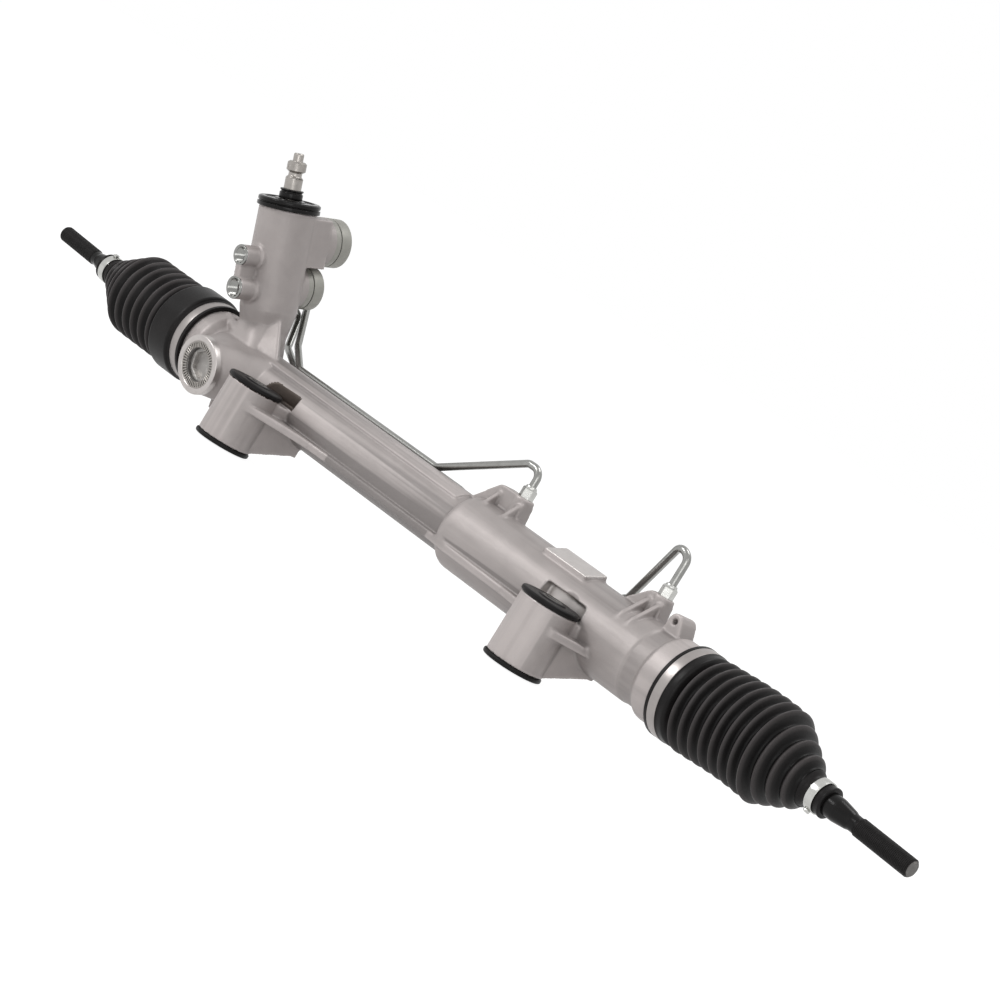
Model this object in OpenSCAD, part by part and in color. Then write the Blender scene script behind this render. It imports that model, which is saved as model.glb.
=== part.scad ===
// Hydraulic power steering rack of a light truck.
// X runs along the rack from the pinion end, Y points away from the mounting eyes,
// and Z points up along the mounting bolts. The origin is the middle of the lower end
// of the left bush sleeve, where the rack is bolted down.
// Shapes are drawn in the rack's own frame, with X = 0 at the left boot lip and the
// rack axis along X, and at_seat() moves that frame to the bolt seat.

/* [Housing] */
// Distance between the two boot lips
housing_l = 655; // [640:1:680]
// Length of each spigot under a boot
boot_grip = 13; // [11:1:16]
// Radius of the boot spigots
spigot_r = 37.5; // [36:0.5:39]
// Outer radius of the tube between gear case and cylinder
tube_r = 27.5; // [26:0.5:29]
// Outer radius of the power cylinder
cylinder_r = 34.5; // [33:0.5:36]
// Where the cylinder bore starts, from the left lip
cylinder_x = 390; // [380:1:396]
// Length of the end bush that closes the cylinder
end_bush_l = 38; // [32:1:42]
// Length of the screwed ring that holds the end bush
end_ring_l = 13; // [10:1:16]
// Thickness of the long front rib
rib_w = 7; // [5:0.5:8]
// How far the front rib stands out of the tube
rib_h = 4; // [3:0.5:6]
// How far the band along the tube's top stands out
band_h = 2.3; // [1.5:0.1:3]

/* [Rack and piston] */
// Radius of the rack bar
rack_r = 14; // [13.5:0.25:14.5]
// Lock to lock travel of the rack
stroke = 144; // [136:1:148]
// Place of the rack in its travel, from the middle towards the right
rack_rest = -4; // [-8:1:8]
// Bore radius of the power cylinder
bore_r = 22; // [21:0.25:22.5]
// Width of the piston
piston_w = 14; // [12:0.5:16]
// Running clearance of a shaft in its bush, on the radius
run_gap = 0.05; // [0.03:0.01:0.08]
// Clearance between pieces that must not touch as they move
part_gap = 0.3; // [0.2:0.05:0.5]
// Clearance around the rack in the cast tunnel
tunnel_gap = 2.5; // [1.5:0.25:3]
// Space left between a ball socket and the housing at full lock
stop_gap = 1; // [0.5:0.25:2]

/* [Gear] */
// Place of the pinion from the left lip
pinion_x = 46; // [44:1:50]
// Angle by which the gear case leans towards the mounts
lean = 16; // [12:0.5:20]
// Angle of the pinion from square to the rack
skew = 11.5; // [8:0.5:14]
// Tooth size, pitch diameter over tooth count
tooth_module = 1.75; // [1.6:0.05:1.8]
// Number of pinion teeth
pinion_teeth = 9; // [8:1:9]
// Length of the pinion teeth
tooth_l = 34; // [30:1:36]
// Space between meshing flanks, along the pitch line
backlash = 0.18; // [0.12:0.02:0.3]

/* [Valve tower] */
// Radius of the tower
tower_r = 27; // [26:0.5:28]
// Height of the tower's top face along its axis
tower_h = 152; // [148:1:158]
// Radius of the bore that holds the valve
valve_bore_r = 18; // [17.5:0.25:18.5]
// Radius of the black tower cap
cap_r = 29.6; // [28.8:0.2:31]
// Thickness of the tower cap
cap_t = 9; // [7:0.5:10]
// Radius of the input shaft
shaft_r = 8.2; // [7.8:0.1:8.6]
// Length of the input shaft above the cap
shaft_out = 43; // [40:1:50]
// Distance of the port faces from the tower axis
port_reach = 46; // [43:0.5:49]
// Height of the upper port, which takes the pressure line
upper_port_h = 104.8; // [101:0.2:108]
// Height of the lower port, which takes the return line
lower_port_h = 74.5; // [71:0.5:77]
// Radius of the upper port's thread
upper_port_r = 7; // [6:0.25:7.5]
// Radius of the lower port's thread
lower_port_r = 8; // [7:0.25:8.5]
// Wall of the port bosses
port_wall = 2.7; // [2.2:0.1:3.2]
// Radius of the upper valve plug
upper_plug_r = 23; // [22:0.5:24]
// Radius of the lower valve plug
lower_plug_r = 20.5; // [19.5:0.5:21.5]
// Thickness of the valve plugs outside their bosses
plug_t = 14.5; // [12:0.5:17]

/* [Rack guide] */
// Outer radius of the yoke boss
yoke_boss_r = 27.5; // [26.5:0.5:29]
// Distance of the yoke boss face from the rack axis
yoke_reach = 53.6; // [52:0.4:57]
// Radius of the yoke
yoke_r = 18; // [17:0.25:18.5]
// Radius of the adjuster plug
adjuster_r = 21.6; // [21:0.2:22.4]
// Notches around the adjuster's face
adjuster_notches = 48; // [36:4:60]
// Width across flats of the adjuster's hex socket
adjuster_hex = 24; // [20:1:25]

/* [Mounting eyes] */
// Place of the left mounting eye from the left lip
mount_x = 126; // [122:1:132]
// Distance between the mounting eyes
mount_pitch = 411; // [404:1:418]
// Distance of the bolts from the rack axis
mount_reach = 52; // [50:0.5:55]
// Height of the rack axis over the bolt seat
rack_height = 60; // [57:0.5:63]
// Outer radius of the eyes
eye_r = 25.5; // [24.5:0.5:27]
// Height of the cast eyes
eye_h = 55; // [51:0.5:57]
// Radius of the bore for the bush
eye_bore_r = 22; // [21:0.25:22.5]
// Radius of the bush's rubber flanges
flange_r = 26.8; // [25.6:0.2:27.4]
// Thickness of the upper rubber flanges, which carry the load
top_flange_t = 4.5; // [3:0.25:7]
// Thickness of the lower rubber flanges
flange_t = 4; // [3:0.25:4.5]
// Radius of the bolt hole in the bush sleeve
bolt_r = 7; // [6:0.25:8]
// Wall of the bush's steel sleeves
bush_wall = 2.5; // [2:0.25:3]

/* [Tie rods] */
// Radius of the joint balls
ball_r = 14; // [13:0.25:14.5]
// Outer radius of the ball sockets
socket_r = 19.5; // [18.5:0.25:21]
// Distance of the ball centre from the socket's inner face
socket_depth = 22; // [20.5:0.25:24]
// Length of the rods from ball centre to tip
rod_l = 152; // [140:1:165]
// Radius of the rod shanks
shank_r = 10; // [9.5:0.25:11]
// Radius of the rods' outer thread
rod_thread_r = 8; // [7:0.25:9]
// Length of the rods' outer thread
rod_thread_l = 59; // [50:1:64]
// Angle by which the rods hang off the rack's line
rod_tilt = 2; // [0:0.25:3]

/* [Boots] */
// Wall of the rubber boots
boot_wall = 2.4; // [1.8:0.1:2.8]
// Radius of the fold tops
fold_r = 41.5; // [40.5:0.5:43]
// Depth of the folds
fold_depth = 6; // [4:0.5:8]
// How fast the folds shrink towards the rod, radius over length
fold_taper = 0.55; // [0.5:0.05:0.6]
// Distance between the left boot's folds
left_fold_pitch = 13; // [12:0.25:13.5]
// Distance between the right boot's folds
right_fold_pitch = 11; // [10:0.25:11.5]
// Length of the left boot from its lip
left_boot_l = 186; // [184:1:188]
// Length of the right boot from its lip
right_boot_l = 168; // [164:1:172]
// Width of the large clamp bands
large_clamp_w = 9; // [7:0.5:10]
// Thickness of the clamp bands
clamp_t = 1.2; // [0.8:0.1:1.6]

/* [Pipes] */
// Radius of the two steel pipes
pipe_r = 3.5; // [3:0.25:4]
// Bend radius of the pipes, at their middle line
pipe_bend = 9; // [8:0.5:11]
// Height of the two cylinder ports over the rack axis
cylinder_port_h = 53; // [51:0.5:57]
// Width across flats of the flare nuts
nut_w = 12; // [11:0.5:13]
// Height of the flare nuts' hexagons
nut_h = 9; // [8:0.5:11]

/* [Hidden] */
$fn = 64;

cast = [0.72, 0.70, 0.69];
steel = [0.62, 0.63, 0.65];
dark_steel = [0.30, 0.29, 0.29];
zinc = [0.78, 0.79, 0.78];
rubber = [0.10, 0.10, 0.11];
bronze = [0.66, 0.52, 0.32];
polymer = [0.86, 0.84, 0.76];
overcut = 1;

// Rack, stops and ball joints along X
travel_mid = housing_l / 2;
rack_mid = travel_mid + rack_rest;
washer_t = 2;
socket_face = housing_l / 2 + boot_grip + stroke / 2 + stop_gap;
ball_out = socket_face + socket_depth;
left_ball_x = rack_mid - ball_out;
right_ball_x = rack_mid + ball_out;
stud_r = 8;
stud_l = 20;
ball_liner = 1.5;
socket_mouth = 6.5;
rod_neck_r = 8;

// Cylinder and its seals
tunnel_r = rack_r + tunnel_gap;
cylinder_end = housing_l + boot_grip - end_ring_l - end_bush_l;
piston_x = (cylinder_x + cylinder_end) / 2 + rack_rest;
seal_l = 16;
bush_l = 22;
inner_seal_r = rack_r + 6;
inner_bush_r = rack_r + 4;
end_body_r = cylinder_r - 1;
end_body_l = 40;
lip_ring_l = 20;

// Meshing of pinion and rack
pressure_angle = 25;
addendum = 0.8 * tooth_module;
dedendum = 1.05 * tooth_module;
pitch_r = pinion_teeth * tooth_module / 2;
tooth_pitch = PI * tooth_module;
flat_depth = 3;
pitch_plane = rack_r - flat_depth - addendum;
pinion_offset = pitch_plane + pitch_r;
rack_spaces = 2 * ceil((stroke / 2 + 14) * cos(skew) / tooth_pitch) - 1;

// Heights along the tower axis, from the rack's middle plane
tooth_top = tooth_l / 2;
needle_l = 12;
needle_top = -tooth_top - 3;
needle_low = needle_top - needle_l;
pinion_end = needle_low - 11;
foot_low = pinion_end - 9;
ball_low = tooth_top + 5;
ball_high = ball_low + 12;
sleeve_low = ball_high + 6;
shaft_bearing_low = tower_h - 26;
sleeve_l = shaft_bearing_low - 6 - sleeve_low;
ring_pitch = (sleeve_l - 27) / 3;
shaft_seal_low = tower_h - 13;
foot_r = 21;
taper_low = 28;
taper_high = 58;
cap_top = tower_h + cap_t;
shaft_top = cap_top + shaft_out;
flats_low = cap_top + 20;
needle_r = 10;
pinion_journal_r = 7;
spool_r = 11;
sleeve_r = valve_bore_r - run_gap;
torsion_r = 2.6;
torsion_bore_r = 3.2;
collar_r = 11;
collar_h = 9;

// Valve plugs, on the side of the tower away from the mounts
upper_plug_h = tower_h - 26;
lower_plug_h = upper_plug_h - upper_plug_r - lower_plug_r - 1;
upper_plug_seat = 53;
lower_plug_seat = 32.5;
plug_seam = 1;
plug_thread_drop = 4;

// Rack guide
saddle_gap = 0.03;
yoke_front = rack_r + 1;
yoke_back = yoke_front + 15;
liner_t = 1;
adjuster_t = 12;
spring_wire = 1.6;
spring_r = 9;
spring_turns = 4;

// Mounting eyes
eye_low = -eye_h;
sleeve_top = top_flange_t + 1;
bush_inner_r = bolt_r + bush_wall;
bush_outer_r = eye_bore_r;
pocket_h = 13;
pocket_reach = [[0, 30], [-30, 0]];
pocket_r = flange_r + 0.8;
rib_low = -20;
band_from = 80;
band_to = 131;

// Ports and pipes
boss_r = 9.5;
left_port_x = cylinder_x + 21;
right_port_x = cylinder_end - 29;
cylinder_port_y = 6;
flare_r = nut_w / 2 - 1;
flare_l = 9;
nut_bore_gap = 0.1;
port_depth = 12;
port_seat_t = 2;
back_boss_r = 8;
left_back = [-21, 39.5, lower_plug_h + lower_plug_r];
right_back = [-18, 34, lower_plug_h - 22.5];
drill_angle = 21.5;

// Places in the boots, measured outwards from the lips
cuff_bead = 3.5;
band_seat_r = spigot_r + boot_wall;
cuff_l = cuff_bead + large_clamp_w;
tail_r = shank_r + 3;
tail_l = 22;
small_clamp_w = 8;
left_folds = 6;
right_folds = 8;
left_first_fold = 53.5;
right_first_fold = 28.5;
left_collar_r = fold_r + 2.5;
right_collar_r = fold_r - 1;

// Frames

module at_seat() translate([-mount_x, mount_reach, rack_height]) children();

// The gear frame leans about the rack axis, with -Y towards the yoke
module gear_frame() translate([pinion_x, 0, 0]) rotate([lean, 0, 0]) children();

// The tower frame has Z along the pinion axis
module tower_frame() gear_frame() translate([0, pinion_offset, 0]) rotate([0, -skew, 0]) children();

// A point given in the tower frame, seen in the rack's frame
function lean_point(p) = [
    p.x,
    p.y * cos(lean) - p.z * sin(lean),
    p.y * sin(lean) + p.z * cos(lean)
];
function skew_point(p) = [
    p.x * cos(skew) - p.z * sin(skew),
    p.y,
    p.x * sin(skew) + p.z * cos(skew)
];
function tower_point(p) = [pinion_x, 0, 0]
    + lean_point(skew_point(p) + [0, pinion_offset, 0]);

// Solids of revolution and plates

module rod_x(r, from, to) translate([from, 0, 0]) rotate([0, 90, 0]) cylinder(r = r, h = to - from);

module ring_x(r, hole, from, to) difference() {
    rod_x(r, from, to);
    rod_x(hole, from - overcut, to + overcut);
}

// A profile of [distance along X, radius] points turned about X
module turned_x(points) rotate([0, 90, 0]) rotate([0, 0, 90])
    rotate_extrude() polygon([for (p = points) [p[1], p[0]]]);

module bar_y(r, x, z, from, to) translate([x, from, z]) rotate([-90, 0, 0])
    cylinder(r = r, h = to - from);

module ring_z(r, hole, from, to) difference() {
    translate([0, 0, from]) cylinder(r = r, h = to - from);
    translate([0, 0, from - overcut]) cylinder(r = hole, h = to - from + 2 * overcut);
}

module plate_yz(x, t, points) translate([x - t / 2, 0, 0]) rotate([90, 0, 90])
    linear_extrude(t) polygon(points);

module plate_xz(y, t, points) translate([0, y + t / 2, 0]) rotate([90, 0, 0])
    linear_extrude(t) polygon(points);

module hexagon(w, h) cylinder(r = w / sqrt(3), h = h, $fn = 6);

// Bent bars: a round skin swept along straight lengths and bends

function unit(v) = v / norm(v);
function turn_angle(a, b) = acos(max(-1, min(1, unit(a) * unit(b))));

// Middle line through the corners, each rounded with a true bend
function bend_points(a, p, b, bend) = let (
    d1 = unit(p - a),
    d2 = unit(b - p),
    angle = turn_angle(d1, d2),
    start = p - d1 * bend * tan(angle / 2),
    inwards = unit(d2 - d1 * (d1 * d2)),
    steps = max(2, ceil(angle / 12))
) [for (i = [0 : steps]) let (t = angle * i / steps)
    start + inwards * bend * (1 - cos(t)) + d1 * bend * sin(t)];
function middle_line(pts, bend) = [
    pts[0],
    for (i = [1 : len(pts) - 2]) each bend_points(pts[i - 1], pts[i], pts[i + 1], bend),
    pts[len(pts) - 1]
];
function heading(line, i) = let (n = len(line) - 1)
    i == 0 ? unit(line[1] - line[0])
    : i == n ? unit(line[n] - line[n - 1])
    : unit(unit(line[i] - line[i - 1]) + unit(line[i + 1] - line[i]));
function squared(side, d) = unit(side - d * (side * d));

module bent_bar(pts, bend, r) {
    line = middle_line(pts, bend);
    n = len(line);
    sides = 16;
    first = squared(abs(heading(line, 0).x) < 0.8 ? [1, 0, 0] : [0, 1, 0], heading(line, 0));
    across = [for (i = 0, s = first; i < n;
        i = i + 1, s = i < n ? squared(s, heading(line, i)) : s) s];
    skin = [for (i = [0 : n - 1]) let (up = cross(heading(line, i), across[i]))
        for (k = [0 : sides - 1]) line[i]
            + r * (across[i] * cos(360 * k / sides) + up * sin(360 * k / sides))];
    polyhedron(skin, [
        [for (k = [0 : sides - 1]) k],
        for (i = [0 : n - 2]) for (k = [0 : sides - 1]) let (next = (k + 1) % sides) each [
            [i * sides + k, (i + 1) * sides + k, (i + 1) * sides + next],
            [i * sides + k, (i + 1) * sides + next, i * sides + next]
        ],
        [for (k = [sides - 1 : -1 : 0]) (n - 1) * sides + k]
    ]);
}

// Rack housing: the casting that holds everything

module turned_casting() turned_x([
    [-boot_grip, 0], [-boot_grip, spigot_r - 1.5], [1.5 - boot_grip, spigot_r],
    [14, spigot_r], [17, spigot_r - 1.5], [20, spigot_r - 5], [27, spigot_r - 7],
    [72, tube_r + 1.5], [90, tube_r],
    [cylinder_x - 20, tube_r],
    for (a = [0 : 15 : 90]) [
        cylinder_x - 14 + 8 * (1 - cos(a)),
        tube_r + (cylinder_r - tube_r) * sin(a)
    ],
    [housing_l - end_body_l, cylinder_r], [housing_l - end_body_l + 1, end_body_r],
    [housing_l - lip_ring_l - 3, end_body_r], [housing_l - lip_ring_l, spigot_r - 1],
    [housing_l - lip_ring_l + 1, spigot_r],
    [housing_l + boot_grip - 1.5, spigot_r], [housing_l + boot_grip, spigot_r - 1.5],
    [housing_l + boot_grip, 0]
]);

// Smooth block of the gear case, from the yoke boss to the tube and the tower's foot
module gear_case() {
    hull() {
        gear_frame() bar_y(yoke_boss_r - 1, 0, 0, 6 - yoke_reach, 0, $fn = 32);
        rod_x(tube_r, pinion_x + 26, pinion_x + 52, $fn = 32);
        rod_x(tube_r + 1, 24, pinion_x, $fn = 32);
    }
    gear_frame() bar_y(yoke_boss_r, 0, 0, -yoke_reach, 0);
    hull() {
        tower_frame() translate([0, 0, 12]) cylinder(r = foot_r, h = taper_high - 20, $fn = 32);
        rod_x(tube_r, pinion_x - 16, pinion_x + 24, $fn = 32);
    }
}

module tower() tower_frame() {
    translate([0, 0, taper_high]) cylinder(r = tower_r, h = tower_h - taper_high);
    translate([0, 0, taper_low]) cylinder(r1 = foot_r, r2 = tower_r, h = taper_high - taper_low);
    translate([0, 0, foot_low]) cylinder(r = foot_r, h = taper_low - foot_low);
    for (port = [[upper_port_h, upper_port_r], [lower_port_h, lower_port_r]]) {
        bar_y(port[1] + port_wall, 0, port[0], -port_reach, 0);
        bar_y(port[1] + port_wall + 2.5, 0, port[0], -tower_r - 1.5, 0);
    }
    plate_xz(-port_reach / 2 - 0.5, port_reach - 1, [
        [-4, lower_port_h], [4, lower_port_h], [4, upper_port_h], [-4, upper_port_h]
    ]);
    bar_y(upper_plug_r, 0, upper_plug_h, 0, upper_plug_seat);
    bar_y(lower_plug_r, 0, lower_plug_h, 0, lower_plug_seat);
    translate([-upper_plug_r, 0, upper_plug_h - upper_plug_r])
        cube([2 * upper_plug_r, upper_plug_seat - 15, 2 * upper_plug_r]);
    for (port = [left_back, right_back]) bar_y(back_boss_r, port.x, port.z, 0, port.y);
}

// Flare between the tower's front and the tube, and the small fins beside the tower
module tower_root() {
    hull() {
        tower_frame() for (p = [[25, -5, 50], [10, -22, 34], [0, 0, 40], [0, 0, 10]])
            translate(p) sphere(r = 2, $fn = 24);
        for (p = [[pinion_x + 19, -15, 20], [pinion_x + 50, -14, 21], [pinion_x + 30, 10, 16]])
            translate(p) sphere(r = 2.5, $fn = 24);
    }
    rotate([18, 0, 0]) linear_extrude(tube_r + 0.9) polygon([
        [pinion_x - 16, -10.5], [pinion_x + 58, -10.5], [pinion_x + 108, 2],
        [pinion_x + 108, 8], [pinion_x - 16, 8]
    ]);
    plate_xz(-14, 5, [[8, 20], [10, spigot_r - 3], [14, spigot_r - 3], [30, 24], [30, 16]]);
    gear_frame() translate([4, 26 - yoke_reach, -yoke_boss_r - 12]) cube([12, 12, 20]);
}

// Raised band along the top of the tube and shelf-like rib along its front
module long_ribs() {
    band_x = pinion_x + 8;
    band_l = cylinder_x - 24 - band_x;
    intersection() {
        rod_x(tube_r + band_h, band_x, band_x + band_l);
        plate_yz(band_x + band_l / 2, band_l, [
            [0, 0], 2 * tube_r * [cos(band_from), sin(band_from)],
            2 * tube_r * [cos(band_to), sin(band_to)]
        ]);
    }
    translate([0, 0, rib_low]) linear_extrude(rib_w) polygon([
        [mount_x, 0], [mount_x, -mount_reach], [mount_x + 11, -mount_reach - 23],
        [mount_x + 30, -mount_reach - 10], [mount_x + 50, 8 - mount_reach],
        [mount_x + 72, -tube_r - rib_h + 1],
        [mount_x + 96, -tube_r - rib_h + 4], [cylinder_x - 24, -tube_r - rib_h + 4],
        [cylinder_x + 6, -cylinder_r - rib_h + 4], [mount_x + mount_pitch - 64, -cylinder_r - 1],
        [mount_x + mount_pitch - 36, -cylinder_r - 7], [mount_x + mount_pitch, -mount_reach],
        [mount_x + mount_pitch, 0]
    ]);
}

// One mounting eye with the web that carries it
module mounting_eye(x) {
    translate([x, -mount_reach, eye_low]) cylinder(r = eye_r, h = eye_h);
    intersection() {
        translate([0, 0, -rack_height]) linear_extrude(rack_height) polygon([
            [x - 19, -mount_reach], [x - 30, 0], [x + 38, 0], [x + 22, -mount_reach + 10],
            [x + 17, -mount_reach]
        ]);
        plate_yz(x, 90, [
            [-mount_reach, eye_low + 1], [12 - mount_reach, eye_low + 1], [-4, -tube_r - 10],
            [0, -tube_r - 10], [0, -2], [-mount_reach, -2]
        ]);
    }
    translate([x, 0, rib_low]) linear_extrude(rib_w) polygon([
        [18, -16 - mount_reach], [26, -10 - mount_reach], [40, 16 - mount_reach], [45, -24],
        [44, -4], [18, -4]
    ]);
}

// A cylinder port's boss, with two gussets down the front of the cylinder
module cylinder_port(x, long_side, body_r) {
    top = cylinder_port_h;
    translate([x, cylinder_port_y, 0]) cylinder(r = boss_r, h = top);
    plate_xz(cylinder_port_y - 1, 15, [
        [x - long_side - 26, body_r - 6], [x - long_side, top - 1], [x - long_side + 5, top],
        [x, top], [x + 9, top - 5], [x + 12, body_r - 8]
    ]);
    for (rib_x = [x - long_side + 4, x + 6]) plate_yz(rib_x, 4, [
        [cylinder_port_y, 0], [cylinder_port_y, top - 3], [-2, top - 5],
        [-body_r * 0.72, body_r * 0.78], [-body_r * 0.96, body_r * 0.3], [-body_r * 0.6, 0]
    ]);
}

// Flat pad on the cylinder and the small lug at its end
module cylinder_pads() {
    rotate([lean, 0, 0]) translate([cylinder_x + 89, -13, 0])
        cube([52, 27, cylinder_r + 3]);
    translate([housing_l - 35, 12, 0]) rotate([90, 0, 0]) linear_extrude(22) union() {
        translate([0, 43]) circle(r = 7);
        polygon([[-8, 20], [-7, 44], [6.5, 46], [13, 30], [13, 20]]);
    }
}

module housing_bores() {
    rod_x(tunnel_r, -boot_grip - overcut, cylinder_x);
    rod_x(inner_bush_r, cylinder_x - seal_l - bush_l, cylinder_x);
    rod_x(inner_seal_r, cylinder_x - seal_l, cylinder_x);
    rod_x(bore_r, cylinder_x, housing_l + boot_grip + overcut);
    gear_frame() {
        bar_y(yoke_r, 0, 0, -yoke_reach, 0);
        bar_y(adjuster_r, 0, 0, -yoke_reach - overcut, 4 - yoke_reach + adjuster_t - 3);
    }
    tower_frame() {
        translate([0, 0, needle_low]) cylinder(r = needle_r, h = 40);
        translate([0, 0, needle_top]) cylinder(r = pitch_r + 4, h = ball_low - needle_top + overcut);
        translate([0, 0, ball_low]) cylinder(r = valve_bore_r, h = tower_h);
        translate([0, 0, foot_low - overcut])
            cylinder(r = foot_r - 6, h = needle_low - foot_low + overcut);
        for (port = [[upper_port_h, upper_port_r], [lower_port_h, lower_port_r]]) {
            bar_y(port[1], 0, port[0], -port_reach - overcut, port_depth - port_reach);
            bar_y(port[1] - 1.5, 0, port[0], -port_reach, port_depth + port_seat_t - port_reach);
            bar_y(4, 0, port[0], -port_reach, 0);
        }
        for (port = [left_back, right_back]) {
            bar_y(flare_r, port.x, port.z, port.y - flare_l, port.y + overcut);
            translate([port.x, port.y - flare_l + overcut, port.z])
                rotate([90, 0, drill_angle]) cylinder(r = 1.5, h = 28);
        }
        bar_y(upper_plug_r - plug_thread_drop, 0, upper_plug_h,
            upper_plug_seat - 12, upper_plug_seat + overcut);
        bar_y(lower_plug_r - plug_thread_drop, 0, lower_plug_h,
            lower_plug_seat - 10, lower_plug_seat + overcut);
    }
    for (x = [left_port_x, right_port_x]) translate([x, cylinder_port_y, 0]) {
        translate([0, 0, cylinder_port_h - flare_l]) cylinder(r = flare_r, h = flare_l + overcut);
        cylinder(r = 1.5, h = cylinder_port_h);
    }
    for (i = [0, 1]) translate([mount_x + i * mount_pitch, -mount_reach, 0]) {
        translate([0, 0, eye_low - overcut]) cylinder(r = eye_bore_r, h = eye_h + 60);
        cylinder(r = pocket_r, h = pocket_h);
        translate([pocket_reach[i][0], 0, 0])
            cube([pocket_reach[i][1] - pocket_reach[i][0], pocket_r, pocket_h]);
    }
    bar_y(2.5, housing_l - 35, 43, -20, 20);
}

module rack_housing() color(cast) at_seat() difference() {
    union() {
        turned_casting();
        gear_case();
        tower();
        tower_root();
        long_ribs();
        mounting_eye(mount_x);
        mounting_eye(mount_x + mount_pitch);
        cylinder_port(left_port_x, 24, cylinder_r - 4);
        cylinder_port(right_port_x, 10, cylinder_r);
        cylinder_pads();
    }
    housing_bores();
}

// Rack bar, piston and the seals they run in

// Spaces between the rack teeth, from the bar's back to above the tooth tips
module tooth_spaces() {
    half_mid = tooth_pitch / 4 + backlash / 2;
    root_half = half_mid - dedendum * tan(pressure_angle);
    tip_half = half_mid + addendum * tan(pressure_angle);
    root = pitch_plane - dedendum - pinion_offset;
    tip = pitch_plane + addendum - pinion_offset;
    last = (rack_spaces - 1) / 2;
    reach = rack_r + 8 + (stroke / 2 + 14) * sin(skew);
    shift = round(rack_rest * cos(skew) / tooth_pitch) * tooth_pitch;
    translate([shift, 0, -reach]) linear_extrude(2 * reach) polygon([
        for (k = [-last : last]) each [
            [k * tooth_pitch - tip_half, tip], [k * tooth_pitch - root_half, root],
            [k * tooth_pitch + root_half, root], [k * tooth_pitch + tip_half, tip]
        ],
        [last * tooth_pitch + tip_half, tip + 12], [-last * tooth_pitch - tip_half, tip + 12]
    ]);
}

module rack_bar() color(steel) at_seat() difference() {
    rod_x(rack_r, rack_mid - socket_face + washer_t, rack_mid + socket_face - washer_t);
    tower_frame() tooth_spaces();
    for (side = [-1, 1]) translate([rack_mid + side * (socket_face - washer_t), 0, 0])
        rotate([0, 90 * side, 0]) translate([0, 0, -stud_l]) cylinder(r = stud_r, h = 2 * stud_l);
}

module piston() color(steel) at_seat() difference() {
    rod_x(bore_r - 0.6, piston_x - piston_w / 2, piston_x + piston_w / 2);
    rod_x(rack_r, piston_x - piston_w, piston_x + piston_w);
    ring_x(bore_r + 1, bore_r - 3, piston_x - 2, piston_x + 2);
}

module piston_ring() color(polymer) at_seat()
    ring_x(bore_r - run_gap, bore_r - 3, piston_x - 2, piston_x + 2);

module inner_rack_bush() color(bronze) at_seat()
    ring_x(inner_bush_r, rack_r + run_gap, cylinder_x - seal_l - bush_l, cylinder_x - seal_l);

module inner_rack_seal() color(rubber) at_seat()
    ring_x(inner_seal_r, rack_r + run_gap, cylinder_x - seal_l, cylinder_x);

module end_bush() color(steel) at_seat() difference() {
    rod_x(bore_r, cylinder_end, cylinder_end + end_bush_l);
    rod_x(rack_r + run_gap, cylinder_end - overcut, cylinder_end + end_bush_l + overcut);
    rod_x(inner_seal_r, cylinder_end + end_bush_l - seal_l, cylinder_end + end_bush_l + overcut);
}

module outer_rack_seal() color(rubber) at_seat() ring_x(inner_seal_r, rack_r + run_gap,
    cylinder_end + end_bush_l - seal_l, cylinder_end + end_bush_l);

module end_ring() color(dark_steel) at_seat()
    ring_x(bore_r, tunnel_r, housing_l + boot_grip - end_ring_l, housing_l + boot_grip);

// Pinion and its bearings

function deg_inv(a) = tan(a) * 180 / PI - a;
function flank_half(r) = 90 / pinion_teeth + deg_inv(pressure_angle)
    - deg_inv(acos(min(1, pitch_r * cos(pressure_angle) / r)));
function polar(r, a) = [r * cos(a), r * sin(a)];

module pinion_outline() {
    base = pitch_r * cos(pressure_angle);
    root = pitch_r - dedendum;
    low = max(base + 0.01, root);
    tip = pitch_r + addendum;
    steps = 5;
    polygon([
        for (k = [0 : pinion_teeth - 1]) let (mid = 360 * k / pinion_teeth - 90) each [
            polar(root, mid - flank_half(low)),
            for (i = [0 : steps]) let (r = low + (tip - low) * i / steps)
                polar(r, mid - flank_half(r)),
            for (i = [steps : -1 : 0]) let (r = low + (tip - low) * i / steps)
                polar(r, mid + flank_half(r)),
            polar(root, mid + flank_half(low))
        ]
    ]);
}

module pinion() color(steel) at_seat() tower_frame() difference() {
    union() {
        translate([0, 0, -tooth_top]) linear_extrude(tooth_l) pinion_outline();
        translate([0, 0, pinion_end]) cylinder(r = pinion_journal_r - 1, h = 20);
        translate([0, 0, needle_low])
            cylinder(r = pinion_journal_r, h = overcut - tooth_top - needle_low);
        translate([0, 0, tooth_top - overcut])
            cylinder(r = pinion_journal_r, h = ball_low + overcut - tooth_top);
        translate([0, 0, ball_low]) cylinder(r = 9, h = ball_high - ball_low);
        translate([0, 0, ball_high]) cylinder(r = spool_r, h = sleeve_low - ball_high);
        translate([0, 0, sleeve_low]) cylinder(r = spool_r - 4, h = 8);
    }
    translate([0, 0, 4]) cylinder(r = torsion_r, h = 100);
}

module needle_bearing() color(steel) at_seat() tower_frame()
    ring_z(needle_r, pinion_journal_r + run_gap, needle_low, needle_top);

module ball_bearing() color(steel) at_seat() tower_frame() difference() {
    ring_z(valve_bore_r, 9, ball_low, ball_high);
    ring_z(14.4, 12.2, ball_high - 1, ball_high + overcut);
    ring_z(14.4, 12.2, ball_low - overcut, ball_low + 1);
}

module pinion_nut() color(zinc) at_seat() tower_frame() difference() {
    translate([0, 0, needle_low - 8]) hexagon(19, 7);
    translate([0, 0, needle_low - 9]) cylinder(r = pinion_journal_r - 1, h = 9);
}

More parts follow.
